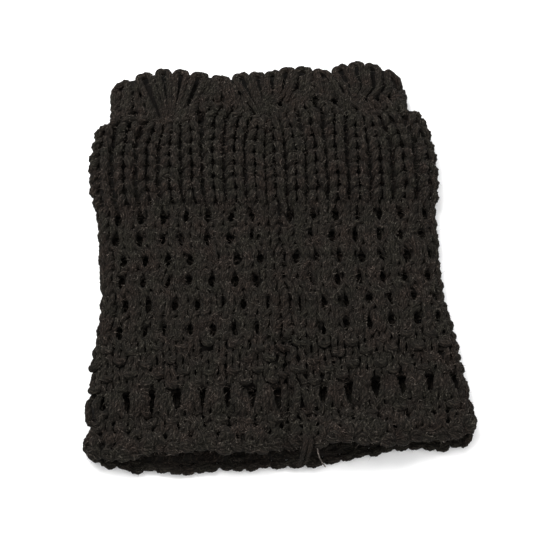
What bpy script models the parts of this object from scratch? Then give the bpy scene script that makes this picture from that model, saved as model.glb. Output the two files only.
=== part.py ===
"""A short knitted leg warmer, laid flat with its hem towards -Y.

It is one knitted piece sewn into a tube. The seam runs down the upper layer, a little right of the middle.
From the top edge (+Y) to the hem (-Y) the tube has a scalloped fan edge, a ribbed cuff, a leg of eyelets,
a band of moss stitch, one tall ladder course and a bound-off hem, whose upper layer lifts off the lower one.

Lengths are in millimetres here, and MM turns them into metres. X runs across, Y along the leg and Z up.
The origin is on the surface below, under the middle of the whole piece.
"""

import math
from collections import namedtuple

import bmesh
import bpy

MM = 0.001

# Driving dimensions of the whole tube as it lies.
GAP = 0.3  # between pieces at seams, folds and section joins
LAYER_GAP = 1.0  # between the two layers inside the folds
FOLD_FACE = 1.0  # upright face of each layer at a side fold
FOLD_ROUND = 9.0  # how far in from a side fold the outside curves
TOP_EDGE_Y = 88.6  # mean height of the scalloped edge
CUFF_END_Y = 22.9  # where the ribs end
LEG_END_Y = -36.8  # where the eyelets end
LADDER_TOP_Y = -57.8
LADDER_END_Y = -69.2
HEM_EDGE_Y = -87.3  # edge of the upper layer

# How far in from a side fold the lines that follow it are, where it curves in steps.
CUFF_FOLD = (0.0, 0.5)
FRONT_FOLD = (0.0, 0.5, 1.6)
LEG_LEFT_FOLD = (0.0, 0.5, 1.6, 4.0)
BACK_FOLD = (0.0, 0.5, 1.6, 4.2)
LEG_BACK_LEFT_FOLD = (0.0, 0.5, 1.6, 4.2, 8.0)
LEG_SEAM_STRIP = 1.0  # from the seam to the leg's nearest line
HEM_SEAM_STRIP = 4.0  # the same right of it in the hem

# Scallops of the top edge.
FAN_REPEAT = 42.0
FAN_CENTRE_X = 4.0
SCALLOP = 1.7  # height of a scallop above and below the mean edge
ARCH_RISE = 6.0  # how much higher the ribs end between two fans
FAN_SQUEEZE = 2.6  # how far strands move towards a fan's centre at its base
SEAM_PULL = 1.4  # how far the seam draws the edge in
SEAM_PULL_REACH = 12.0

# Knitting. A stitch is counted across, from the seam.
STITCHES_LEFT = 16.3  # from the seam to the left fold
STITCHES_RIGHT = 15.2  # from the seam to the right fold
RIB_STITCHES = 2
RIB_DEPTH = 2.2
FINGER_DEPTH = 1.7

# Courses sag a little right of the middle.
COURSE_HALF = 64.0
SAG_X = 12.0
SAG_REACH = 24.0

# The hem's upper layer lifts in two lobes, one either side of the seam.
LIFT_START_Y = -68.0
LIFT_FULL_Y = -84.0
CORNER_START_X = 58.0
CORNER_REACH = 17.0
CORNER_RISE = 4.0
BACK_EDGE_Y = -88.8
BACK_EDGE_SWING = 1.8
BACK_EDGE_CENTRE_X = -14.0
BACK_EDGE_REACH = 90.0

# Widths and shape at stations down the tube.
Station = namedtuple("Station", "y half_width half_thick seam_x tilt sag")
STATIONS = (
    Station(92.0, 63.0, 5.0, 6.2, -0.5, 0.0),
    Station(72.0, 64.2, 5.4, 5.0, -0.6, 0.0),
    Station(63.0, 71.2, 6.3, 4.3, -0.8, 0.0),
    Station(48.0, 74.0, 6.6, 3.4, -1.2, 0.0),
    Station(31.0, 73.8, 6.6, 2.9, -1.8, 0.0),
    Station(20.0, 71.2, 5.3, 2.9, -2.3, 0.0),
    Station(-3.0, 70.2, 5.0, 4.0, -2.2, 0.3),
    Station(-16.0, 69.6, 5.0, 4.8, -2.0, 0.6),
    Station(-29.0, 70.8, 5.0, 5.8, -0.4, 2.2),
    Station(-42.0, 73.1, 5.4, 6.2, 0.2, 2.4),
    Station(-55.0, 74.2, 5.4, 6.0, 0.8, 2.0),
    Station(-68.0, 75.0, 5.0, 5.7, 0.8, 1.4),
    Station(-80.0, 75.5, 5.0, 5.8, 0.4, 0.8),
    Station(-93.0, 75.3, 5.0, 5.9, 0.0, 0.0),
)

# Rows of eyelets, with how far each row is moved across from the first.
EyeletRow = namedtuple("EyeletRow", "y shift_left shift_right by_seam")
EYELET_ROWS = (
    EyeletRow(17.4, 0.0, 0.5, True),
    EyeletRow(7.5, -1.1, -1.7, False),
    EyeletRow(-2.2, 1.9, 0.5, True),
    EyeletRow(-12.0, 0.2, -1.5, False),
    EyeletRow(-22.0, 2.8, 1.6, True),
    EyeletRow(-32.9, 0.0, 0.6, False),
)
EYELET_LEFT_X = -5.5  # eyelet nearest the seam
EYELET_LEFT_PITCH = 9.3
EYELETS_LEFT = 7
EYELET_RIGHT_X = 9.8
EYELET_RIGHT_PITCH = 9.2
EYELETS_RIGHT = 7
EYELET_HALF_WIDTH = 1.45
EYELET_HALF_HEIGHT = 2.5

# Gaps of the ladder course.
LADDER_Y = -63.7
LADDER_LEFT_X = 0.0
LADDER_LEFT_PITCH = 9.75
LADDERS_LEFT = 8
LADDER_RIGHT_X = 17.0
LADDER_RIGHT_PITCH = 10.5
LADDERS_RIGHT = 6
LADDER_HALF_WIDTH = 2.05
LADDER_HALF_HEIGHT = 3.3
LADDER_CELL = 6.4  # width of the strip that holds a gap

Lobe = namedtuple("Lobe", "start peak end height")
LOBES = (Lobe(-68.0, -18.0, 5.5, 5.4), Lobe(6.5, 22.0, 72.0, 7.0))

# A gap's outline, from its lowest point round to the right, in halves of its width and height.
OVAL = ((0.0, -1.0), (0.9, -0.5), (0.9, 0.5), (0.0, 1.0), (-0.9, 0.5), (-0.9, -0.5))
VEE = ((0.0, -1.0), (0.5, -0.1), (1.0, 0.7), (0.0, 1.0), (-1.0, 0.7), (-0.5, -0.1))

Finish = namedtuple("Finish", "name colour roughness metallic")
CUFF_YARN = Finish("cuff_yarn", (0.0190, 0.0165, 0.0138), 0.95, 0.0)
LEG_YARN = Finish("leg_yarn", (0.0176, 0.0152, 0.0126), 0.95, 0.0)
HEM_YARN = Finish("hem_yarn", (0.0165, 0.0145, 0.0122), 0.96, 0.0)


def clear_scene():
    """Remove every object of the startup scene."""
    for thing in list(bpy.data.objects):
        bpy.data.objects.remove(thing, do_unlink=True)


def smooth(value):
    """Ease a value from 0 to 1, level at both ends."""
    held = min(max(value, 0.0), 1.0)
    return held * held * (3.0 - 2.0 * held)


def station(y, column):
    """Read one column of STATIONS at a height, eased between its rows."""
    for upper, lower in zip(STATIONS, STATIONS[1:]):
        if y >= lower.y:
            share = min(max((upper.y - y) / (upper.y - lower.y), 0.0), 1.0)
            start = getattr(upper, column)
            return start + (getattr(lower, column) - start) * (0.5 * share + 0.5 * smooth(share))
    return getattr(STATIONS[-1], column)


def course(y, x):
    """Height at x of the course that crosses the middle at y."""
    dip = math.exp(-(((x - SAG_X) / SAG_REACH) ** 2))
    return y + station(y, "tilt") * x / COURSE_HALF - station(y, "sag") * dip


def fan_phase(x):
    """Angle round a fan repeat, 0 at a fan's centre."""
    return 2.0 * math.pi * (x - FAN_CENTRE_X) / FAN_REPEAT


def top_edge(x):
    """Height of the scalloped edge at x."""
    pull = SEAM_PULL * math.exp(-(((x - station(TOP_EDGE_Y, "seam_x")) / SEAM_PULL_REACH) ** 2))
    return course(TOP_EDGE_Y, x) + SCALLOP * math.cos(fan_phase(x)) - pull


def corner(x):
    """How far a hem edge rises at x where it rounds into a side fold."""
    return CORNER_RISE * max(0.0, (abs(x) - CORNER_START_X) / CORNER_REACH) ** 2


def back_edge(x):
    """Height at x of the lower layer's hem edge."""
    swing = math.cos(math.pi * (x - BACK_EDGE_CENTRE_X) / BACK_EDGE_REACH)
    return BACK_EDGE_Y - BACK_EDGE_SWING * swing + corner(x)


def lift(x, y):
    """How far the hem's upper layer stands off the lower one."""
    rise = smooth((LIFT_START_Y - y) / (LIFT_START_Y - LIFT_FULL_Y))
    total = 0.0
    for lobe in LOBES:
        if x < lobe.peak:
            reach = (x - lobe.start) / (lobe.peak - lobe.start)
        else:
            reach = (lobe.end - x) / (lobe.end - lobe.peak)
        total += lobe.height * smooth(reach)
    return rise * total


def rounding(x, y):
    """Share of the full height that the outside has at x: 0 at a side fold, 1 inside its curve."""
    inward = min(max((station(y, "half_width") - abs(x)) / FOLD_ROUND, 0.0), 1.0)
    return math.sqrt(1.0 - (1.0 - inward) ** 2)


def upper_outside(x, y):
    """Outer surface of the upper layer."""
    half = station(y, "half_thick")
    start = half + GAP / 2 + FOLD_FACE
    return start + (2 * half - start) * rounding(x, y) + lift(x, y)


def upper_inside(x, y):
    """Inner surface of the upper layer."""
    half = station(y, "half_thick")
    return half + GAP / 2 + (LAYER_GAP - GAP) / 2 * rounding(x, y) + lift(x, y)


def lower_inside(x, y):
    """Inner surface of the lower layer."""
    half = station(y, "half_thick")
    return half - GAP / 2 - (LAYER_GAP - GAP) / 2 * rounding(x, y)


def lower_outside(x, y):
    """Outer surface of the lower layer, flat where it rests."""
    start = station(y, "half_thick") - GAP / 2 - FOLD_FACE
    return start * (1.0 - rounding(x, y))


def material(finish):
    """Make a material with a Principled BSDF from a finish."""
    made = bpy.data.materials.new(finish.name)
    made.use_nodes = True
    shader = made.node_tree.nodes["Principled BSDF"]
    shader.inputs["Base Color"].default_value = (*finish.colour, 1.0)
    shader.inputs["Roughness"].default_value = finish.roughness
    shader.inputs["Metallic"].default_value = finish.metallic
    return made


def ring_faces(corners, outline):
    """Faces between a cell's corners (from lower left, anticlockwise) and a gap's six points."""
    low_left, low_right, high_right, high_left = corners
    foot, right_low, right_high, head, left_high, left_low = outline
    return (
        (low_left, low_right, foot),
        (low_right, right_low, foot),
        (low_right, high_right, right_high, right_low),
        (high_right, head, right_high),
        (high_right, high_left, head),
        (high_left, left_high, head),
        (high_left, low_left, left_low, left_high),
        (low_left, foot, left_low),
    )


def wall(mesh, upper, lower):
    """Close the side between an upper and a lower loop of points.

    Seen from above, the loops run clockwise round a panel and anticlockwise round a gap in it.
    """
    for here in range(len(upper)):
        after = (here + 1) % len(upper)
        mesh.faces.new((upper[here], upper[after], lower[after], lower[here]))


def slab(name, grid, gaps, above, below, finish):
    """Make one panel as a closed solid.

    grid holds rows of (x, y, relief), from low to high y and from low to high x. gaps maps a cell's
    (row, column) to the six (x, y) points of the gap cut through it. above and below give the two
    surfaces' heights, and relief is added to the one on the outside of an upper layer.
    """
    mesh = bmesh.new()

    def points(source, surface, raised):
        heights = [surface(x, y) + relief * raised for x, y, relief in source]
        return [mesh.verts.new((x * MM, y * MM, z * MM)) for (x, y, _), z in zip(source, heights)]

    top = [points(row, above, 1.0) for row in grid]
    base = [points(row, below, 0.0) for row in grid]
    for row in range(len(grid) - 1):
        for column in range(len(grid[0]) - 1):
            cells = [
                (side[row][column], side[row][column + 1], side[row + 1][column + 1], side[row + 1][column])
                for side in (top, base)
            ]
            if (row, column) not in gaps:
                mesh.faces.new(cells[0])
                mesh.faces.new(reversed(cells[1]))
                continue
            outline = [(x, y, 0.0) for x, y in gaps[row, column]]
            rims = (points(outline, above, 0.0), points(outline, below, 0.0))
            for face in ring_faces(cells[0], rims[0]):
                mesh.faces.new(face)
            for face in ring_faces(cells[1], rims[1]):
                mesh.faces.new(reversed(face))
            wall(mesh, rims[0], rims[1])

    def border(side):
        right = [row[-1] for row in side]
        left = [row[0] for row in side]
        return left + side[-1][1:-1] + right[::-1] + side[0][-2:0:-1]

    wall(mesh, border(top), border(base))
    data = bpy.data.meshes.new(name)
    mesh.to_mesh(data)
    mesh.free()
    data.materials.append(material(finish))
    data.shade_smooth()
    data.set_sharp_from_angle(angle=math.radians(50.0))
    made = bpy.data.objects.new(name, data)
    bpy.context.scene.collection.objects.link(made)
    return made


def gap_outline(shape, x, y, half_width, half_height):
    """The six points of a gap centred on x, y."""
    return [(x + across * half_width, y + along * half_height) for across, along in shape]


def side_lines(side, y, offsets):
    """Lines that follow a side fold (-1 left, 1 right) at offsets inwards from it, in order of x."""
    inwards = offsets if side < 0 else offsets[::-1]
    return [side * (station(y, "half_width") - offset) for offset in inwards]


def seam_edge(side, y):
    """Where a panel of the upper layer on one side of the seam ends."""
    return station(y, "seam_x") + side * GAP / 2


# ---- cuff: fan edge and ribs ----

CuffRow = namedtuple("CuffRow", "y arched ribs fingers")
CUFF_ROWS = (
    CuffRow(CUFF_END_Y + GAP / 2, 0.0, 0.5, 0.0),
    CuffRow(27.0, 0.0, 1.0, 0.0),
    CuffRow(42.0, 0.2, 1.0, 0.0),
    CuffRow(58.0, 1.0, 1.0, 0.0),
    CuffRow(63.5, 1.0, 0.4, 0.2),
    CuffRow(68.0, 1.0, 0.0, 0.8),
    CuffRow(76.0, 0.3, 0.0, 1.0),
    CuffRow(84.0, 0.0, 0.0, 1.0),
)
SQUEEZE_Y = 68.0
SQUEEZE_REACH = 11.0
CUFF_BACK_CELLS = 40  # across the lower layer
CUFF_BACK_STRIP = 1.0  # between them and the lines that follow the side folds


def cuff_point(side, stitch, row):
    """Plan point of a stitch, counted from the seam, on a row of the cuff."""
    seam = seam_edge(side, row.y)
    inner_fold = side * (station(row.y, "half_width") - CUFF_FOLD[-1])
    stitches = STITCHES_RIGHT if side > 0 else STITCHES_LEFT
    x = seam + (inner_fold - seam) * stitch / stitches
    squeeze = FAN_SQUEEZE * math.exp(-(((row.y - SQUEEZE_Y) / SQUEEZE_REACH) ** 2))
    clear = smooth(stitch / 2.0) * smooth((stitches - stitch) / 2.0)
    x -= squeeze * clear * math.sin(fan_phase(x))
    arch = (1.0 - math.cos(fan_phase(x))) / 2 * smooth((stitches - stitch) / 4.0)
    return x, course(row.y, x) + ARCH_RISE * row.arched * arch


def cuff_relief(side, stitch, row):
    """How far the outer surface lies below the tops of the ribs and fingers."""
    first_rib = 0.5 if side > 0 else 1.5
    from_rib = abs((stitch - first_rib + 1.0) % RIB_STITCHES - 1.0)
    rib = from_rib**3 * row.ribs
    finger = 2.0 * abs(stitch % 1.0 - 0.5) * row.fingers
    return -RIB_DEPTH * rib - FINGER_DEPTH * finger


def cuff_front(name, side):
    """Upper layer of the cuff on one side of the seam, with its ribs and fingers raised."""
    stitches = STITCHES_RIGHT if side > 0 else STITCHES_LEFT
    counted = [half / 2 for half in range(int(2 * stitches) + 1)]
    grid = []
    edge_row = CuffRow(TOP_EDGE_Y, 0.0, 0.0, 0.8)
    for row in CUFF_ROWS + (edge_row,):
        line = []
        for stitch in counted:
            x, y = cuff_point(side, stitch, row)
            if row is edge_row:
                y = top_edge(x)
            line.append((x, y, cuff_relief(side, stitch, row)))
        if side < 0:
            line.reverse()
        fold = [
            (x, top_edge(x) if row is edge_row else course(row.y, x), 0.0)
            for x in side_lines(side, row.y, CUFF_FOLD)
        ]
        grid.append(line + fold if side > 0 else fold + line)
    return slab(name, grid, {}, upper_outside, upper_inside, CUFF_YARN)


def cuff_back(name):
    """Lower layer of the cuff, plain and flat underneath."""
    grid = []
    for height in [row.y for row in CUFF_ROWS] + [None]:
        y = TOP_EDGE_Y if height is None else height
        half = station(y, "half_width") - BACK_FOLD[-1] - CUFF_BACK_STRIP
        across = side_lines(-1, y, BACK_FOLD)
        across += [half * (2 * step / CUFF_BACK_CELLS - 1) for step in range(CUFF_BACK_CELLS + 1)]
        across += side_lines(1, y, BACK_FOLD)
        grid.append([(x, top_edge(x) if height is None else course(y, x), 0.0) for x in across])
    return slab(name, grid, {}, lower_inside, lower_outside, CUFF_YARN)


# ---- leg: rows of eyelets ----


def mean(values):
    """Mean of some numbers."""
    return sum(values) / len(values)


def eyelet_left(row, index):
    """Middle of an eyelet left of the seam, counted from the left."""
    return EYELET_LEFT_X - EYELET_LEFT_PITCH * (EYELETS_LEFT - 1 - index) + row.shift_left


def eyelet_right(row, index):
    """Middle of an eyelet right of the seam, counted from the seam."""
    return EYELET_RIGHT_X + EYELET_RIGHT_PITCH * index + row.shift_right


def eyelet_back(row, index):
    """Middle of an eyelet of the lower layer, which lies between two of the upper one."""
    if index < EYELETS_LEFT:
        return eyelet_left(row, index) + EYELET_LEFT_PITCH / 2
    return eyelet_right(row, index - EYELETS_LEFT) - EYELET_RIGHT_PITCH / 2


def leg_panel(name, eyelet, count, ends, above, below, by_seam=None):
    """Make one panel of the leg.

    eyelet(row, index) gives an eyelet's middle, count is how many each row has, and ends(y) gives the
    lines left and right of the cells. Cell by_seam is cut through only in rows that reach the seam.
    """
    heights = [row.y for row in EYELET_ROWS]
    line_heights = [CUFF_END_Y - GAP / 2, *map(mean, zip(heights, heights[1:])), LEG_END_Y + GAP / 2]
    neighbours = [EYELET_ROWS[:1], *zip(EYELET_ROWS, EYELET_ROWS[1:]), EYELET_ROWS[-1:]]
    grid = []
    for y, rows in zip(line_heights, neighbours):
        left, right = ends(y)
        middles = [
            mean([eyelet(row, index + step) for row in rows for step in (0, 1)])
            for index in range(count - 1)
        ]
        grid.append([(x, course(y, x), 0.0) for x in (*left, *middles, *right)])
    grid.reverse()
    first = len(ends(0.0)[0]) - 1
    gaps = {}
    for step, row in enumerate(EYELET_ROWS):
        for index in range(count):
            if index == by_seam and not row.by_seam:
                continue
            x = eyelet(row, index)
            place = (len(EYELET_ROWS) - 1 - step, first + index)
            gaps[place] = gap_outline(OVAL, x, course(row.y, x), EYELET_HALF_WIDTH, EYELET_HALF_HEIGHT)
    return slab(name, grid, gaps, above, below, LEG_YARN)


def leg_left(name):
    """Upper layer of the leg left of the seam."""

    def ends(y):
        seam = seam_edge(-1, y)
        return side_lines(-1, y, LEG_LEFT_FOLD), [seam - LEG_SEAM_STRIP, seam]

    return leg_panel(name, eyelet_left, EYELETS_LEFT, ends, upper_outside, upper_inside)


def leg_right(name):
    """Upper layer of the leg right of the seam, which hides the nearest eyelet of every other row."""

    def ends(y):
        seam = seam_edge(1, y)
        return [seam, seam + LEG_SEAM_STRIP], side_lines(1, y, FRONT_FOLD)

    return leg_panel(name, eyelet_right, EYELETS_RIGHT, ends, upper_outside, upper_inside, by_seam=0)


def leg_back(name):
    """Lower layer of the leg."""

    def ends(y):
        return side_lines(-1, y, LEG_BACK_LEFT_FOLD), side_lines(1, y, BACK_FOLD)

    return leg_panel(name, eyelet_back, EYELETS_LEFT + EYELETS_RIGHT, ends, lower_inside, lower_outside)


# ---- hem: moss band, ladder course and bound-off edge ----


def front_edge(x):
    """Height at x of the upper layer's hem edge."""
    return HEM_EDGE_Y + corner(x)


def hem_panel(name, centres, ends, heights, edge, above, below):
    """Make one panel of the hem, from its edge up to the leg.

    centres are the ladder gaps from left to right, ends(y) gives the lines left and right of them, and
    heights are the lines below the ladder course.
    """
    grid = []
    for height in (None, *heights, LADDER_END_Y, LADDER_TOP_Y, MOSS_LINE_Y, LEG_END_Y - GAP / 2):
        y = HEM_EDGE_Y if height is None else height
        left, right = ends(y)
        middles = [centre + side * LADDER_CELL / 2 for centre in centres for side in (-1, 1)]
        across = (*left, *middles, *right)
        grid.append([(x, edge(x) if height is None else course(y, x), 0.0) for x in across])
    first = len(ends(0.0)[0])
    gaps = {}
    for index, x in enumerate(centres):
        outline = gap_outline(VEE, x, course(LADDER_Y, x), LADDER_HALF_WIDTH, LADDER_HALF_HEIGHT)
        gaps[len(heights) + 1, first + 2 * index] = outline
    return slab(name, grid, gaps, above, below, HEM_YARN)


LADDERS_LEFT_X = [LADDER_LEFT_X - LADDER_LEFT_PITCH * step for step in reversed(range(LADDERS_LEFT))]
LADDERS_RIGHT_X = [LADDER_RIGHT_X + LADDER_RIGHT_PITCH * step for step in range(LADDERS_RIGHT)]
HEM_LINES = (-83.0, -79.0, -74.0)  # heights of the lines between the ladder course and the edge
BACK_HEM_LINES = (-80.0,)
MOSS_LINE_Y = -47.0


def hem_left(name):
    """Upper layer of the hem left of the seam."""

    def ends(y):
        return side_lines(-1, y, FRONT_FOLD), [seam_edge(-1, y)]

    return hem_panel(name, LADDERS_LEFT_X, ends, HEM_LINES, front_edge, upper_outside, upper_inside)


def hem_right(name):
    """Upper layer of the hem right of the seam."""

    def ends(y):
        seam = seam_edge(1, y)
        return [seam, seam + HEM_SEAM_STRIP], side_lines(1, y, FRONT_FOLD)

    return hem_panel(name, LADDERS_RIGHT_X, ends, HEM_LINES, front_edge, upper_outside, upper_inside)


def hem_back(name):
    """Lower layer of the hem, which reaches further than the upper one."""
    seen = LADDERS_LEFT_X + LADDERS_RIGHT_X
    centres = [mean(pair) for pair in zip(seen, seen[1:])]

    def ends(y):
        return side_lines(-1, y, BACK_FOLD), side_lines(1, y, BACK_FOLD)

    return hem_panel(name, centres, ends, BACK_HEM_LINES, back_edge, lower_inside, lower_outside)


def build():
    """Build every panel of the leg warmer."""
    clear_scene()
    cuff_front("cuff_left", -1)
    cuff_front("cuff_right", 1)
    cuff_back("cuff_back")
    leg_left("leg_left")
    leg_right("leg_right")
    leg_back("leg_back")
    hem_left("hem_left")
    hem_right("hem_right")
    hem_back("hem_back")


build()
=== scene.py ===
"""A short knitted leg warmer, laid flat and made of yarn, loop by loop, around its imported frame.

Every course is one line of yarn that is planned in the knitting's own terms: how many stitches round
from the seam, how many courses down, and how deep in the wall. LaidTube lays those lines on the tube
as it lies, and a Geometry Nodes tree sweeps the plied yarn along them.

Lengths in the classes are millimetres, and MM turns them into metres. The hem points to -Y. A place
round the tube, e, is a distance along the wall, leftwards from the middle of the upper layer.
"""

import logging
import math
from collections.abc import Callable, Iterable
from dataclasses import dataclass, field
from enum import Enum
from typing import NamedTuple

import bpy
import numpy as np
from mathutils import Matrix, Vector


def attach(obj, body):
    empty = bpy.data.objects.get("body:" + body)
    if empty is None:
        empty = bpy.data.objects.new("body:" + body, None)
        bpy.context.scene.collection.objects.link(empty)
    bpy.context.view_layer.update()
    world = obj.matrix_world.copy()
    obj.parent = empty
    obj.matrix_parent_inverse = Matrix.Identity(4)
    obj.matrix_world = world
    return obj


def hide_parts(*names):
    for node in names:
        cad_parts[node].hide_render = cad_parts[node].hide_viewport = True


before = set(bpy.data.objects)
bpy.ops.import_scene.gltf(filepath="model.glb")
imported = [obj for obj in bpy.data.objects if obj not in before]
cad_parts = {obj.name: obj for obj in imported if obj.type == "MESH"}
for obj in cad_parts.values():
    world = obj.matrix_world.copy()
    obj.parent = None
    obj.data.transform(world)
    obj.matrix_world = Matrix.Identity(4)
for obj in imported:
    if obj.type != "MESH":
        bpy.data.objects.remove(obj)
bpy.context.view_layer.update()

MM = 0.001
BODY = "root"
SECTION_SEED = 11  # of the cuff; the leg and the hem have the next ones
FUZZ_SEED = 40
log = logging.getLogger("leg_warmer")

Array = np.ndarray
Triple = tuple[float, float, float]
Marks = tuple[tuple[float, float], ...]
Rows = tuple[tuple[float, float, float, float], ...]
Socket = bpy.types.NodeSocket
Material = bpy.types.Material
Piece = bpy.types.Object


class Panel(Enum):
    """The three stretches of each section between the seam and the side folds."""

    LEFT = "left"
    BACK = "back"
    RIGHT = "right"


def smooth(value: Array) -> Array:
    """Ease values from 0 to 1, level at both ends."""
    held = np.clip(value, 0.0, 1.0)
    return held * held * (3.0 - 2.0 * held)


def along_marks(x: Array, marks: Marks) -> Array:
    """Read a line that is given by x and y at some places."""
    return np.interp(x, *zip(*marks))


# ---------------------------------------------------------------- the tube as it lies


@dataclass(frozen=True)
class Station:
    """The tube's section at one height, with the tilt and the sag of the course there."""

    y: float
    half_width: float
    half_thick: float
    seam_x: float
    tilt: float
    sag: float


@dataclass(frozen=True)
class Lobe:
    """One stretch of the upper hem that stands off the lower one, by x and height."""

    start: float
    peak: float
    end: float
    height: float


@dataclass(frozen=True)
class LaidTube:
    """The laid tube's form: it turns a place in the knitting into a point in space."""

    stations: tuple[Station, ...] = (
        Station(92.0, 63.0, 5.0, 6.2, -0.5, 0.0),
        Station(72.0, 64.2, 5.4, 5.0, -0.6, 0.0),
        Station(63.0, 71.2, 6.3, 4.3, -0.8, 0.0),
        Station(48.0, 74.0, 6.6, 3.4, -1.2, 0.0),
        Station(31.0, 73.8, 6.6, 2.9, -1.8, 0.0),
        Station(20.0, 71.2, 5.3, 2.9, -2.3, 0.0),
        Station(-3.0, 70.2, 5.0, 4.0, -2.2, 0.3),
        Station(-16.0, 69.6, 5.0, 4.8, -2.0, 0.6),
        Station(-29.0, 70.8, 5.0, 5.8, -0.4, 2.2),
        Station(-42.0, 73.1, 5.4, 6.2, 0.2, 2.4),
        Station(-55.0, 74.2, 5.4, 6.0, 0.8, 2.0),
        Station(-68.0, 75.0, 5.0, 5.7, 0.8, 1.4),
        Station(-80.0, 75.5, 5.0, 5.8, 0.4, 0.8),
        Station(-93.0, 75.3, 5.0, 5.9, 0.0, 0.0),
    )
    lobes: tuple[Lobe, ...] = (Lobe(-68.0, -18.0, 5.5, 5.4), Lobe(6.5, 22.0, 72.0, 7.0))
    fold_round: float = 9.0  # how far a side fold's curve reaches across
    layer_gap: float = 1.0
    fold_squash: float = 0.65  # how far the inside of a side fold is pressed flat
    course_half: float = 64.0  # x where a course has its full tilt
    sag_x: float = 12.0
    sag_reach: float = 24.0
    lift_start_y: float = -68.0
    lift_full_y: float = -84.0
    arc_steps: int = 64

    def read(self, y: Array, column: str) -> Array:
        """Read one column of the stations, eased between them.

        Args:
            y: Heights.
            column: Name of the column.

        Returns:
            The values at those heights.
        """
        heights = np.array([row.y for row in self.stations])
        values = np.array([getattr(row, column) for row in self.stations])
        y = np.asarray(y, float)
        index = np.clip(np.searchsorted(-heights, -y, side="right") - 1, 0, len(heights) - 2)
        share = np.clip((heights[index] - y) / (heights[index] - heights[index + 1]), 0.0, 1.0)
        return values[index] + (values[index + 1] - values[index]) * (0.5 * share + 0.5 * smooth(share))

    def wall(self, y: Array) -> Array:
        """Thickness of one layer."""
        return self.read(y, "half_thick") - self.layer_gap / 2

    def bend(self, y: Array) -> Array:
        """How far the wall's middle line reaches across, round a side fold."""
        return self.fold_round - self.wall(y) / 2

    def rise(self, y: Array) -> Array:
        """How far a layer's middle line is from the tube's middle."""
        return self.read(y, "half_thick") - self.wall(y) / 2

    def quarter(self, y: Array) -> Array:
        """Length of the wall's middle line round half a side fold."""
        a, b = self.bend(y), self.rise(y)
        return math.pi / 4 * (3 * (a + b) - np.sqrt((3 * a + b) * (a + 3 * b)))

    def flat(self, y: Array) -> Array:
        """Length of the wall's middle line from the middle of a layer to where the fold starts."""
        return self.read(y, "half_width") - self.fold_round

    def half_girth(self, y: Array) -> Array:
        """Length of the wall's middle line from the middle of a layer to a side fold."""
        return self.flat(y) + self.quarter(y)

    def course(self, y: Array, x: Array) -> Array:
        """Height at x of the course that crosses the middle at y."""
        dip = np.exp(-(((x - self.sag_x) / self.sag_reach) ** 2))
        return y + self.read(y, "tilt") * x / self.course_half - self.read(y, "sag") * dip

    def lift(self, x: Array, y: Array) -> Array:
        """Find how far the hem's upper layer stands off the lower one.

        Args:
            x: Places across.
            y: Heights.

        Returns:
            Distances upwards.
        """
        total = np.zeros_like(x)
        for lobe in self.lobes:
            before = (x - lobe.start) / (lobe.peak - lobe.start)
            after = (lobe.end - x) / (lobe.end - lobe.peak)
            total += lobe.height * smooth(np.where(x < lobe.peak, before, after))
        return smooth((self.lift_start_y - y) / (self.lift_start_y - self.lift_full_y)) * total

    def across(self, e: Array, y: Array) -> tuple[Array, Array]:
        """Turn a place round the tube into one across its layer.

        Args:
            e: Places round the tube.
            y: Heights.

        Returns:
            Distances from the layer's middle along the wall, and which points are on the upper layer.
        """
        girth = self.half_girth(y)
        turned = (e + girth) % (4 * girth)
        upper = turned < 2 * girth
        return np.where(upper, girth - turned, turned - 3 * girth), upper

    def carried(self, e: Array, start_y: Array, end_y: Array) -> Array:
        """Move places to other heights, with the same distance from their layer's middle."""
        girth = self.half_girth(start_y)
        return e + 2 * np.round(e / (2 * girth)) * (self.half_girth(end_y) - girth)

    def fold_angle(self, share: Array) -> Array:
        """Find the angle round a fold.

        Args:
            share: Shares of the fold's length.

        Returns:
            The angles.
        """
        angles = np.linspace(0.0, math.pi / 2, self.arc_steps)
        speed = np.hypot(np.cos(angles), 0.5 * np.sin(angles))
        length = np.concatenate(([0.0], np.cumsum((speed[1:] + speed[:-1]) / 2)))
        return np.interp(share, length / length[-1], angles)

    def folded(self, across: Array, y: Array) -> tuple[Array, Array]:
        """Follow the wall's middle line round the side folds.

        Args:
            across: Distances from the layer's middle along the wall.
            y: Heights.

        Returns:
            The x of each point, and its angle round its fold.
        """
        flat, far = self.flat(y), np.abs(across)
        angle = self.fold_angle(np.clip((far - flat) / self.quarter(y), 0.0, 1.0))
        return np.sign(across) * (np.minimum(far, flat) + self.bend(y) * np.sin(angle)), angle

    def plan_x(self, e: Array, y: Array) -> Array:
        """Where a place round the tube is, seen from above."""
        return self.folded(self.across(e, y)[0], y)[0]

    def point(self, e: Array, y: Array, depth: Array) -> Array:
        """Lay points of the wall in space.

        Args:
            e: Places round the tube.
            y: Heights.
            depth: Distances outwards from the wall's middle.

        Returns:
            The points, one row each.
        """
        across, upper = self.across(e, y)
        x, angle = self.folded(across, y)
        bend, rise, up = self.bend(y), self.rise(y), np.where(upper, 1.0, -1.0)
        lean = np.hypot(np.sin(angle) / bend, np.cos(angle) / rise)
        depth = np.where(depth < 0, depth * (1.0 - self.fold_squash * np.sin(angle) ** 2), depth)
        x = x + np.sign(across) * depth * np.sin(angle) / bend / lean
        z = self.read(y, "half_thick") + up * rise * np.cos(angle) + up * depth * np.cos(angle) / rise / lean
        return np.stack((x, y, z + np.where(upper, self.lift(x, y), 0.0)), axis=1)


# ---------------------------------------------------------------- yarn


@dataclass
class Strand:
    """One cut length of yarn: its middle line, and its radius at each point."""

    points: Array
    radius: Array


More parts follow.
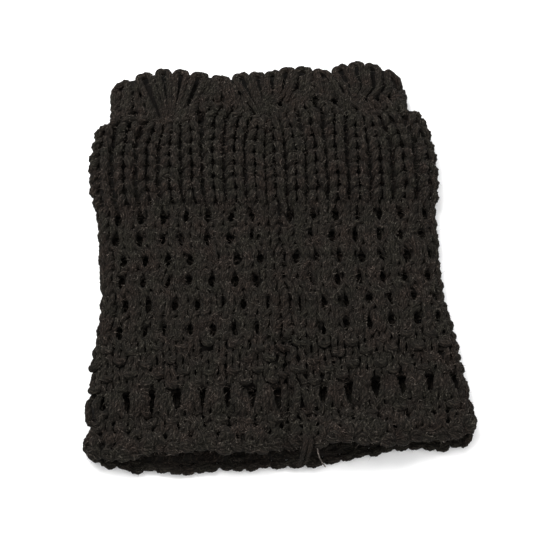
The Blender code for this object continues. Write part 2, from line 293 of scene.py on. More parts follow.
@dataclass(frozen=True)
class Loop:
    """Half of one stitch's loop, as rows of across (stitches), along (courses), depth and radius."""

    half: Rows
    mirrored: bool = True

    def rows(self) -> Array:
        """Find the control rows of the whole stitch.

        Returns:
            The rows without the last one, which the next stitch starts with.
        """
        half = np.array(self.half)
        if not self.mirrored:
            return half
        other = half[-2:0:-1] * (-1.0, 1.0, 1.0, 1.0)
        return np.concatenate((half, other))


def curve_through(rows: Array, per: int) -> Array:
    """Sample a smooth curve through control rows.

    Args:
        rows: The control rows.
        per: How many samples to take between two rows.

    Returns:
        The samples, with the first and last row kept.
    """
    padded = np.concatenate((2 * rows[:1] - rows[1:2], rows, 2 * rows[-1:] - rows[-2:-1]))
    before, start, end, after = padded[:-3], padded[1:-2], padded[2:-1], padded[3:]
    square = 2 * before - 5 * start + 4 * end - after
    cube = 3 * start - before - 3 * end + after
    steps = (2 * start + (end - before) * t + square * t * t + cube * t**3 for t in np.arange(per) / per)
    samples = np.stack([0.5 * step for step in steps], axis=1).reshape(-1, rows.shape[1])
    return np.concatenate((samples, rows[-1:]))


@dataclass(frozen=True)
class Gap:
    """One gap in the knitting, placed by its distance round from a fold or from the middle of a layer."""

    quarter: int  # 0 and 4 the middle of the upper layer, 2 that of the lower
    across: float
    y: float
    half_width: float
    half_height: float

    def offset(self, e: Array, girth: Array) -> Array:
        """Distance round the tube from the gap's middle, with the whole length round it at each point."""
        return (e - self.quarter * girth / 4 - self.across + girth / 2) % girth - girth / 2


@dataclass(frozen=True)
class Openings:
    """Round gaps in the knitting, which push the yarn around them aside and inwards."""

    gaps: tuple[Gap, ...]
    sharpness: float = 3.0
    taper: float = 0.0  # how much wider a gap is at its top than at its middle, as a share
    reach: float = 3.0  # of a gap's effect, in its own sizes
    narrowest: float = 0.25  # half width of a gap, with its margin
    dip: float = 0.0  # how much deeper the yarn lies at a gap's middle
    slope: float = 1.6  # how far the dip reaches past a gap's rim

    def dipped(self, e: Array, y: Array, girth: Array) -> Array:
        """Find how much deeper the yarn lies by the gaps.

        Args:
            e: Places round the tube.
            y: Heights.
            girth: Whole length round the tube at each point.

        Returns:
            Distances inwards.
        """
        nearest = np.full(len(e), np.inf)
        for gap in self.gaps:
            across = gap.offset(e, girth) / (gap.half_width + self.slope)
            nearest = np.minimum(nearest, np.hypot(across, (y - gap.y) / (gap.half_height + self.slope)))
        return self.dip * np.exp(-(nearest**2))

    def part(self, e: Array, y: Array, girth: Array, margin: float) -> tuple[Array, Array]:
        """Move points away from the gaps.

        Args:
            e: Places round the tube.
            y: Heights.
            girth: Whole length round the tube at each point.
            margin: How far from a gap's rim the points stay.

        Returns:
            The new places and heights.
        """
        e, y = e.copy(), y.copy()
        for gap in self.gaps:
            de, dy = gap.offset(e, girth), y - gap.y
            widened = gap.half_width * (1.0 + self.taper * np.clip(dy / gap.half_height, -1.0, 1.0))
            reach = np.maximum(widened + margin, self.narrowest)
            away = np.hypot(de / reach, dy / (gap.half_height + margin))
            near = away < self.reach
            r = np.maximum(away[near], 1e-3)
            grown = (r**self.sharpness + 1.0) ** (1.0 / self.sharpness) / r - 1.0
            e[near] += de[near] * grown
            y[near] += dy[near] * grown
        return e, y


# ---------------------------------------------------------------- node trees and meshes


class Tree:
    """A node tree under construction, with short calls to add and join nodes."""

    def __init__(self, tree: bpy.types.NodeTree) -> None:
        """Keep the tree. A group's inputs are added to given."""
        self.tree = tree
        self.given: dict | bpy.types.NodeOutputs = {}

    @classmethod
    def group(cls, name: str, kind: str, inputs: dict[str, str], outputs: dict[str, str]) -> "Tree":
        """Start a node group.

        Args:
            name: Its name.
            kind: Blender's name for its type.
            inputs: The type of each input, by the input's name.
            outputs: The type of each output, by the output's name.

        Returns:
            The group.
        """
        made = cls(bpy.data.node_groups.new(name, kind))
        for way, sockets in (("INPUT", inputs), ("OUTPUT", outputs)):
            for label, form in sockets.items():
                made.tree.interface.new_socket(label, in_out=way, socket_type=f"NodeSocket{form}")
        if inputs:
            made.given = made.node("NodeGroupInput").outputs
        return made

    def node(self, kind: str, inputs: dict | None = None, **settings: object) -> bpy.types.Node:
        """Add a node.

        Args:
            kind: Blender's name for the node type.
            inputs: Sockets to set or join, by name or number; a socket as the value is joined.
            settings: Properties of the node.

        Returns:
            The node.
        """
        made = self.tree.nodes.new(kind)
        for name, value in settings.items():
            setattr(made, name, value)
        for name, value in (inputs or {}).items():
            if isinstance(value, Socket):
                self.join(value, made.inputs[name])
            else:
                made.inputs[name].default_value = value
        return made

    def out(self, kind: str, inputs: dict | None = None, number: int | str = 0, **settings: object) -> Socket:
        """Add a node as node() does, and return one of its outputs."""
        return self.node(kind, inputs, **settings).outputs[number]

    def join(self, source: Socket, target: Socket) -> None:
        """Join two sockets."""
        self.tree.links.new(source, target)

    def math(self, operation: str, *values: Socket | float) -> Socket:
        """Work out a sum on numbers or sockets."""
        return self.out("ShaderNodeMath", dict(enumerate(values)), operation=operation)

    def wave(self, angle: Socket) -> Socket:
        """Turn an angle into a wave between 0 and 1."""
        return self.math("MULTIPLY_ADD", self.math("COSINE", angle), 0.5, 0.5)

    def xyz(self, x: Socket | float = 0.0, y: Socket | float = 0.0, z: Socket | float = 0.0) -> Socket:
        """Make a vector."""
        return self.out("ShaderNodeCombineXYZ", {0: x, 1: y, 2: z})

    def apart(self, vector: Socket) -> bpy.types.NodeOutputs:
        """Take a vector apart into x, y and z."""
        return self.node("ShaderNodeSeparateXYZ", {0: vector}).outputs

    def noise(self, place: Socket, scale: float, detail: float, roughness: float = 0.5) -> Socket:
        """Draw noise."""
        inputs = {"Vector": place, "Scale": scale, "Detail": detail, "Roughness": roughness}
        return self.out("ShaderNodeTexNoise", inputs)

    def ranged(self, value: Socket, low: float, high: float, top: float = 1.0) -> Socket:
        """Spread the values from low to high over 0 to top."""
        inputs = {"Value": value, "From Min": low, "From Max": high, "To Min": 0.0, "To Max": top}
        return self.out("ShaderNodeMapRange", inputs)

    def mixed(self, share: Socket | float, first: Socket, second: Socket, blend: str = "MIX") -> Socket:
        """Mix two colours."""
        inputs = {0: share, 6: first, 7: second}
        return self.out("ShaderNodeMix", inputs, 2, data_type="RGBA", blend_type=blend)

    def captured(self, geometry: Socket, kind: str, name: str, value: Socket) -> tuple[Socket, Socket]:
        """Capture a value on a geometry.

        Args:
            geometry: The geometry.
            kind: The value's type.
            name: Its name.
            value: The value.

        Returns:
            The geometry and the captured value.
        """
        made = self.node("GeometryNodeCaptureAttribute", {"Geometry": geometry})
        made.capture_items.new(kind, name)
        self.join(value, made.inputs[name])
        return made.outputs[0], made.outputs[1]

    def stored(self, geometry: Socket, kind: str, name: str, value: Socket) -> Socket:
        """Store a value at a geometry's points as an attribute."""
        inputs = {"Geometry": geometry, "Name": name, "Value": value}
        return self.out("GeometryNodeStoreNamedAttribute", inputs, data_type=kind, domain="POINT")

    def finished(self, geometry: Socket) -> bpy.types.NodeTree:
        """End a tree with Realize Instances and Set Material.

        Args:
            geometry: What the tree puts out, before its finish.

        Returns:
            The tree.
        """
        real = self.out("GeometryNodeRealizeInstances", {"Geometry": geometry})
        done = self.out("GeometryNodeSetMaterial", {"Geometry": real, "Material": self.given["Finish"]})
        self.node("NodeGroupOutput", {"Geometry": done})
        return self.tree


def new_mesh_object(name: str, points: Array, edges: Iterable = (), faces: Iterable = ()) -> Piece:
    """Make an object from points in millimetres.

    Args:
        name: The object's name.
        points: Rows of x, y, z.
        edges: Pairs of point numbers.
        faces: Lists of point numbers.

    Returns:
        The object, linked to the scene.
    """
    data = bpy.data.meshes.new(name)
    data.from_pydata((np.asarray(points) * MM).tolist(), list(edges), list(faces))
    return linked(bpy.data.objects.new(name, data))


def linked(made: Piece) -> Piece:
    """Link an object to the scene."""
    bpy.context.scene.collection.objects.link(made)
    return made


def run_tree(obj: Piece, tree: bpy.types.NodeTree, values: dict[str, object]) -> Piece:
    """Run a Geometry Nodes tree on an object and keep the result as a plain mesh.

    Args:
        obj: The object to run it on.
        tree: The tree.
        values: The tree's inputs, by name.

    Returns:
        The same object with its new mesh.
    """
    modifier = obj.modifiers.new("shape", "NODES")
    modifier.node_group = tree
    for item in tree.interface.items_tree:
        if item.item_type == "SOCKET" and item.in_out == "INPUT" and item.name in values:
            modifier[item.identifier] = values[item.name]
    bpy.context.view_layer.update()
    graph = bpy.context.evaluated_depsgraph_get()
    shape = obj.evaluated_get(graph)
    mesh = bpy.data.meshes.new_from_object(shape, preserve_all_data_layers=True, depsgraph=graph)
    obj.modifiers.remove(modifier)
    old, obj.data = obj.data, mesh
    mesh.name = obj.name
    bpy.data.meshes.remove(old)
    return obj


def enter(piece: Piece, slot: str, node: str | None = None) -> Piece:
    """Enter a piece in the frame and report it.

    Args:
        piece: The piece.
        slot: Its material slot; not used.
        node: The node that it replaces, if it does.

    Returns:
        The piece.
    """
    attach(piece, BODY)
    if node is not None:
        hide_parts(node)
    log.info("%s: %d faces", piece.name, len(piece.data.polygons))
    return piece


@dataclass
class YarnSweep:
    """Sweeps a plied yarn along lines of points."""

    plies: int = 3
    ply_depth: float = 0.17  # share of the radius that the grooves between plies take
    turn_length: float = 9.5  # along the yarn, for one turn of the ply
    group: bpy.types.NodeTree = field(init=False)

    def __post_init__(self) -> None:
        """Build the tree once."""
        self.group = self.tree()

    def tree(self) -> bpy.types.NodeTree:
        """Build the tree that sweeps the yarn.

        Returns:
            A tree with the inputs Sides, Ply Depth, Turns and Finish.
        """
        inputs = {"Geometry": "Geometry", "Sides": "Int", "Ply Depth": "Float", "Turns": "Float"}
        inputs["Finish"] = "Material"
        t = Tree.group("plied_yarn", "GeometryNodeTree", inputs, {"Geometry": "Geometry"})
        sides, place = t.given["Sides"], t.out("GeometryNodeInputPosition")
        line = t.out("GeometryNodeMeshToCurve", {"Mesh": t.given["Geometry"]})
        length = t.out("GeometryNodeSplineParameter", number="Length")
        turn = t.math("MULTIPLY", t.math("MULTIPLY", length, t.given["Turns"]), 2 * math.pi)
        turned = t.out("GeometryNodeSetCurveTilt", {"Curve": line, "Tilt": turn})
        path, along = t.captured(turned, "FLOAT", "along", length)

        circle = t.out("GeometryNodeCurvePrimitiveCircle", {"Resolution": sides, "Radius": 1.0})
        index = t.out("GeometryNodeInputIndex")
        phase = t.math("DIVIDE", t.math("MULTIPLY", index, 2 * math.pi * self.plies), sides)
        hollow = t.math("MULTIPLY", t.math("SUBTRACT", 1.0, t.math("COSINE", phase)), 0.5)
        inwards = t.math("MULTIPLY", t.math("MULTIPLY", hollow, t.given["Ply Depth"]), -1.0)
        shift = t.out("ShaderNodeVectorMath", {0: place, "Scale": inwards}, operation="SCALE")
        circle, ring = t.captured(circle, "VECTOR", "ring", place)
        profile = t.out("GeometryNodeSetPosition", {"Geometry": circle, "Offset": shift})

        plump = t.out("GeometryNodeInputNamedAttribute", {"Name": "plump"}, data_type="FLOAT")
        sweep = {"Curve": path, "Profile Curve": profile, "Scale": plump, "Fill Caps": True}
        swept = t.out("GeometryNodeCurveToMesh", sweep)
        swept = t.stored(swept, "FLOAT", "along", along)
        swept = t.stored(swept, "FLOAT_VECTOR", "ring", ring)
        return t.finished(t.out("GeometryNodeSetShadeSmooth", {"Geometry": swept, "Shade Smooth": True}))

    def sweep(self, name: str, strands: list[Strand], sides: int, finish: Material) -> Piece:
        """Make one object from strands.

        Args:
            name: The object's name.
            strands: The lengths of yarn in it.
            sides: How many sides the yarn has.
            finish: Its material.

        Returns:
            The object, with a plain mesh.
        """
        counts = [len(strand.points) for strand in strands]
        starts = np.cumsum([0] + counts[:-1])
        edges = [(start + k, start + k + 1) for start, count in zip(starts, counts) for k in range(count - 1)]
        obj = new_mesh_object(name, np.concatenate([strand.points for strand in strands]), edges)
        radius = np.concatenate([strand.radius for strand in strands]) * MM
        plump = obj.data.attributes.new("plump", "FLOAT", "POINT")
        plump.data.foreach_set("value", radius.astype(np.float32))
        values = {"Sides": sides, "Ply Depth": self.ply_depth, "Turns": 1.0 / (self.turn_length * MM)}
        return run_tree(obj, self.group, values | {"Finish": finish})


# ---------------------------------------------------------------- finishes


class Effects:
    """The shader groups that the finishes share, each built once."""

    ply_count: float = 3.0
    crest_power: float = 0.5  # under 1, the plies' crests are wider than the grooves between them
    streak_round: float = 3.2  # fibres' noise round the yarn, and along it to the metre
    streak_along: float = 550.0
    fuzz_scale: float = 1900.0
    strand_along: float = 4200.0  # angle of the fine strands to the metre, and their turns round the yarn
    strand_turns: float = 7.0
    groove_shade_share: float = 0.6  # of the pale colour that the grooves between plies hide: painted shade in the grooves
    strand_shade_share: float = 0.85  # of it that the hollows between fine strands hide: painted shade in the hollows, leaving painted glint lines on the strands
    pale_fibre_and_highlight_mask: Triple = (0.47, 0.63, 1.5)  # noise where the pale streaks start and are full, and how pale: pale fibres, partly painted highlight
    # bright flecks of the fine noise, painted glints: where they start and are full, and how bright
    glint_mask: Triple = (0.56, 0.66, 4.4)
    heights: Triple = (0.4, 0.6, 0.5)  # of the streaks, the plies' crests, and the strands and flecks
    patch_scale: float = 110.0
    hues: tuple[tuple[float, Triple], ...] = (
        # place on the ramp and colour there: greenish, reddish and plain
        (0.36, (0.80, 1.0, 0.86)), (0.64, (1.25, 0.93, 0.90)), (0.5, (1.0, 1.0, 1.0)),
    )

    def __init__(self) -> None:
        """Build the groups."""
        self.fibres, self.heather = self.fibre_group(), self.heather_group()

    def fibre_group(self) -> bpy.types.NodeTree:
        """Build the group that draws the plies' grooves and the fibres along them, with painted glints and
        painted shade.

        Returns:
            A group with the outputs Fibre, a mask of pale fibres with painted glints and painted shade in the
            grooves, and Height.
        """
        t = Tree.group("wool_fibres", "ShaderNodeTree", {}, {"Fibre": "Float", "Height": "Float"})
        x, y, _ = t.apart(t.out("ShaderNodeAttribute", number="Vector", attribute_name="ring"))
        along = t.out("ShaderNodeAttribute", number="Fac", attribute_name="along")
        angle = t.math("ARCTAN2", y, x)
        crest = t.math("POWER", t.wave(t.math("MULTIPLY", angle, self.ply_count)), self.crest_power)
        round_yarn = (t.math("MULTIPLY", value, self.streak_round) for value in (x, y))
        wool = t.xyz(*round_yarn, t.math("MULTIPLY", along, self.streak_along))
        streaks = t.noise(wool, 1.0, detail=3.0, roughness=0.6)
        place = t.out("ShaderNodeTexCoord", number="Object")
        fuzz = t.noise(place, self.fuzz_scale, detail=3.0, roughness=0.7)
        wound = t.math("MULTIPLY_ADD", along, self.strand_along, t.math("MULTIPLY", angle, self.strand_turns))
        strand = t.wave(t.math("MULTIPLY_ADD", fuzz, self.strand_turns, wound))
        # Painted shade: the pale colour is dimmed in the grooves between plies and in the hollows between
        # strands.
        by_crest = t.math("MULTIPLY_ADD", crest, self.groove_shade_share, 1.0 - self.groove_shade_share)
        strand_shade = t.math("MULTIPLY_ADD", strand, self.strand_shade_share, 1.0 - self.strand_shade_share)
        # Pale streaks, partly painted highlight, and painted glints.
        pale = t.math("ADD", t.ranged(streaks, *self.pale_fibre_and_highlight_mask), t.ranged(fuzz, *self.glint_mask))
        of_streaks, of_crests, of_finer = self.heights
        height = t.math("MULTIPLY_ADD", streaks, of_streaks, t.math("MULTIPLY", crest, of_crests))
        for finer in (strand, fuzz):
            height = t.math("MULTIPLY_ADD", finer, of_finer, height)
        # The pale mask with its painted glints, dimmed by the painted shade of the grooves and hollows.
        fibre = t.math("MULTIPLY", pale, t.math("MULTIPLY", by_crest, strand_shade))
        t.node("NodeGroupOutput", {"Fibre": fibre, "Height": height})
        return t.tree

    def heather_group(self) -> bpy.types.NodeTree:
        """Build the group that mixes the yarn's colours.

        Returns:
            A group with the inputs Dark, Pale, Amount and Tint, and the output Colour.
        """
        inputs = {"Dark": "Color", "Pale": "Color", "Amount": "Float", "Tint": "Float"}
        t = Tree.group("heather", "ShaderNodeTree", inputs, {"Colour": "Color"})
        patches = t.noise(t.out("ShaderNodeTexCoord", number="Object"), self.patch_scale, 2.0)
        ramp = t.node("ShaderNodeValToRGB", {0: patches})
        stops = ramp.color_ramp.elements
        for number, (position, colour) in enumerate(self.hues):
            stop = stops[number] if number < len(stops) else stops.new(position)
            stop.position, stop.color = position, (*colour, 1.0)
        base = t.mixed(t.given["Amount"], t.given["Dark"], t.given["Pale"])
        t.node("NodeGroupOutput", {"Colour": t.mixed(t.given["Tint"], base, ramp.outputs[0], "MULTIPLY")})
        return t.tree


@dataclass(frozen=True)
class Finish:
    """A heather colour on a matt surface with fine relief."""

    name: str
    dark: Triple
    pale: Triple
    tint: float = 0.3  # how much of the reddish and greenish heather shows
    roughness: float = 0.8
    specular: float = 0.1
    relief: float = 0.4
    relief_strength: float = 0.6

    def pattern(self, t: Tree, effects: Effects) -> tuple[Socket, Socket]:
        """Draw the mask of the pale colour, and the height of the relief."""
        raise NotImplementedError

    def settings(self) -> dict[str, object]:
        """Plain values of the shader's sockets."""
        return {"Roughness": self.roughness, "Specular IOR Level": self.specular}

    def material(self, effects: Effects) -> Material:
        """Make the material.

        Args:
            effects: The shared shader groups.

        Returns:
            The material.
        """
        made = bpy.data.materials.new(self.name)
        made.use_nodes = True
        shader, t = made.node_tree.nodes["Principled BSDF"], Tree(made.node_tree)
        for name, value in self.settings().items():
            shader.inputs[name].default_value = value
        amount, height = self.pattern(t, effects)
        inputs = {"Dark": (*self.dark, 1.0), "Pale": (*self.pale, 1.0), "Amount": amount, "Tint": self.tint}
        colour = t.out("ShaderNodeGroup", inputs, "Colour", node_tree=effects.heather)
        t.join(colour, shader.inputs["Base Color"])
        bump = {"Height": height, "Strength": self.relief_strength, "Distance": self.relief * MM}
        t.join(t.out("ShaderNodeBump", bump), shader.inputs["Normal"])
        return made


@dataclass(frozen=True)
class YarnFinish(Finish):
    """The plied yarn of one section."""

    tint: float = 0.35
    roughness: float = 0.9
    specular: float = 0.08
    relief: float = 0.5
    relief_strength: float = 0.9
    sheen: float = 0.02
    sheen_roughness: float = 0.45
    sheen_tint: Triple = (0.75, 0.7, 0.62)

    def pattern(self, t: Tree, effects: Effects) -> tuple[Socket, Socket]:
        """Draw the fibres with their painted glints and shade, and the plies."""
        drawn = t.node("ShaderNodeGroup", node_tree=effects.fibres).outputs
        return drawn["Fibre"], drawn["Height"]

    def settings(self) -> dict[str, object]:
        """Plain values of the shader's sockets, with the sheen's."""
        sheen = {"Sheen Weight": self.sheen, "Sheen Roughness": self.sheen_roughness}
        return super().settings() | sheen | {"Sheen Tint": (*self.sheen_tint, 1.0)}


@dataclass(frozen=True)
class FibreFinish(Finish):
    """The loose fibres, the felted web and the pale thread, which are mottled."""

    patch_scale: float = 1500.0
    patch_low: float = 0.35
    patch_high: float = 0.7

    def pattern(self, t: Tree, effects: Effects) -> tuple[Socket, Socket]:
        """Draw the mottle."""
        mottle = t.noise(t.out("ShaderNodeTexCoord", number="Object"), self.patch_scale, 2.0)
        return t.ranged(mottle, self.patch_low, self.patch_high), mottle


# ---------------------------------------------------------------- sections of the knitting


class Knot(NamedTuple):
    """A stitch whose place is fixed: how many quarters of the tube it is round, and its x."""

    stitch: float
    quarter: int
    x: float

    def round(self, girth: Array | float, x: Array | None = None) -> Array | float:
        """Its place round the tube, with a quarter's length, or that of another x."""
        return self.quarter * girth + self.side() * (self.x if x is None else x)

    def side(self) -> float:
        """Which way x runs round the tube on its layer."""
        return 1.0 if self.quarter == 2 else -1.0


@dataclass
class Section:
    """A stretch of the tube that is knitted in one pattern. Stitches count leftwards from the seam."""

    tube: LaidTube
    rng: np.random.Generator
    name: str = "section"
    slot: str = "yarn"
    stitches: int = 60
    left_last: int = 16  # first stitch of the back panel
    right_first: int = 46  # first stitch of the right panel
    per: int = 2  # samples between two rows of a loop
    openings: Openings = field(init=False)
    seam_lap: float = 1.6
    seam_right_rise: float = 0.9  # how far the seam's right edge stands off the wall, and its left one
    seam_left_rise: float = -0.9
    seam_edge: float = 1.4  # the most that the rise is multiplied by
    valley: float = 1.0  # width of the valley that the left edge makes, in stitches
    back_start: float = 18.0  # first stitch on the lower layer whose place is fixed
    unevenness: float = 0.035  # of a stitch's place across, and shares of it for the rest
    rise_share: float = 1.6
    depth_share: float = 4.5
    swell: float = 0.05
    slant: float = 0.03  # sideways lean of a loop, in stitches a course
    gap_smallest: float = 0.8  # sizes of gaps, as shares of the pattern's
    gap_largest: float = 1.2
    gap_shift: float = 0.35
    dip: float = 1.8
    floor_share: float = 0.95  # of the yarn's radius that is kept above the floor

    def level(self, c: Array) -> Array:
        """Height at which course c crosses the middle, before its tilt, sag and arches."""
        raise NotImplementedError

    def round_at(self, s: Array, c: Array) -> Array:
        """Place round the tube, at the course's level, of stitch s on course c."""
        raise NotImplementedError

    def height_at(self, c: Array, e: Array) -> Array:
        """Height of course c at place e round the tube, at the course's level."""
        raise NotImplementedError

    def courses(self) -> list[dict[Panel, Strand]]:
        """Every course of the section."""
        raise NotImplementedError

    def gathered(self, rows: Array) -> Array:
        """Draw stitches together before they are laid, where the pattern does."""
        return rows

    def place(self, s: Array, c: Array, depth: Array) -> tuple[Array, Array, Array]:
        """Find where stitches and courses are on the tube, with the seam's right edge over its left.

        Args:
            s: Stitches from the seam.
            c: Courses.
            depth: Distances outwards from the wall's middle.

        Returns:
            Places round the tube, heights and depths.
        """
        right_edge = np.clip(s - (self.stitches - 1.0), 0.0, self.seam_edge)
        left_edge = np.clip(self.valley - s, 0.0, self.seam_edge)
        e = self.round_at(s, c) + self.seam_lap * right_edge
        y = self.height_at(c, e)
        rise = self.seam_right_rise * right_edge + self.seam_left_rise * left_edge
        return self.tube.carried(e, self.level(c), y), y, depth + rise

    def between(self, s: Array, marks: Array, places: list[Array]) -> Array:
        """Find stitches between those whose places are fixed.

        Args:
            s: Stitches.
            marks: The fixed ones.
            places: Where each fixed one is, on the course of each stitch.

        Returns:
            Places round the tube.
        """
        table = np.stack(places, axis=1)
        index = np.clip(np.searchsorted(marks, s, side="right") - 1, 0, len(marks) - 2)
        share = (s - marks[index]) / (marks[index + 1] - marks[index])
        start, end = (table[np.arange(len(s)), index + step] for step in (0, 1))
        return start + (end - start) * share

    def laid(self, e: Array, y: Array, depth: Array, radius: Array) -> Strand:
        """Lay a strand on the tube, above the floor.

        Args:
            e: Places round the tube.
            y: Heights.
            depth: Distances outwards from the wall's middle.
            radius: The yarn's radius.

        Returns:
            The strand.
        """
        points = self.tube.point(e, y, depth)
        points[:, 2] = np.maximum(points[:, 2], radius * self.floor_share)
        return Strand(points, radius)

    def lay(self, rows: Array) -> Strand:
        """Lay sampled rows of stitch, course, depth and radius on the tube.

        Args:
            rows: The rows.

        Returns:
            The strand.
        """
        s, c, depth, radius = self.gathered(rows).T
        e, y, depth = self.place(s, c, depth)
        e, parted = self.openings.part(e, y, 4 * self.tube.half_girth(y), float(np.median(radius)))
        e, y = self.tube.carried(e, y, parted), parted
        return self.laid(e, y, depth - self.openings.dipped(e, y, 4 * self.tube.half_girth(y)), radius)

    def gap_at(self, knot: Knot, c: float, half_width: float, half_height: float) -> Gap:
        """Open a gap beside a stitch, moved a little, and as large as chance makes it.

        Args:
            knot: The stitch.
            c: The course.
            half_width: Half the gap's width, before chance.
            half_height: Half its height, before chance.

        Returns:
            The gap.
        """
        course = np.array([c])
        place = knot.round(self.tube.half_girth(self.level(course)))
        y = float(self.height_at(course, place)[0])
        wide, high = self.gap_smallest + (self.gap_largest - self.gap_smallest) * self.rng.random(2)
        aside, along = self.rng.normal(0.0, self.gap_shift, 2)
        across = knot.side() * knot.x + aside
        return Gap(knot.quarter, across, y + along, half_width * wide, half_height * high)

    def jitter(self, count: int, spread: float) -> Array:
        """Small random amounts, one for each stitch."""
        return self.rng.normal(0.0, spread, count)

    def loop_rows(
        self, middle: float, loops: list[Loop], tall: float = 1.0, first: int = 0
    ) -> tuple[Array, Array]:
        """Plan a length of knitting.

        Args:
            middle: The course's middle, in courses.
            loops: The loop of each stitch.
            tall: Height of a loop, in courses.
            first: The first stitch.

        Returns:
            Sampled rows of stitch, course, depth and radius, and the number of each stitch's first row.
        """
        count = len(loops)
        shift = self.jitter(count, self.unevenness)
        rise = self.jitter(count, self.rise_share * self.unevenness)
        swell = 1.0 + self.jitter(count, self.swell)
        depth = self.jitter(count, self.depth_share * self.unevenness)
        slant = self.jitter(count, self.slant)
        blocks = []
        for index, loop in enumerate(loops):
            rows = loop.rows()
            rows[:, 0] += first + index + 0.5 + shift[index] + slant[index] * rows[:, 1]
            rows[:, 1] = middle + (rows[:, 1] + rise[index]) * tall
            rows[:, 2] += depth[index]
            rows[:, 3] *= swell[index]
            blocks.append(rows)
        end = blocks[-1][:1].copy()
        end[:, 0] = first + count
        blocks.append(end)
        starts = np.cumsum([0] + [len(block) for block in blocks]) * self.per
        control = np.concatenate(blocks)
        control[:, 3] *= 1.0 + self.jitter(len(control), self.swell)
        return curve_through(control, self.per), starts

    def panels(
        self, rows: Array, cut_left: int, cut_right: int, lay: Callable[[Array], Strand]
    ) -> dict[Panel, Strand]:
        """Cut sampled rows where the back and the right panel start, and lay the yarn of each panel."""
        parts = (rows[: cut_left + 1], rows[cut_left : cut_right + 1], rows[cut_right:])
        return {panel: lay(part) for panel, part in zip(Panel, parts)}

    def course(self, middle: float, loops: list[Loop]) -> dict[Panel, Strand]:
        """Make one course of yarn from its middle, in courses, and the loop of each stitch."""
        sampled, starts = self.loop_rows(middle, loops)
        return self.panels(sampled, starts[self.left_last], starts[self.right_first], self.lay)


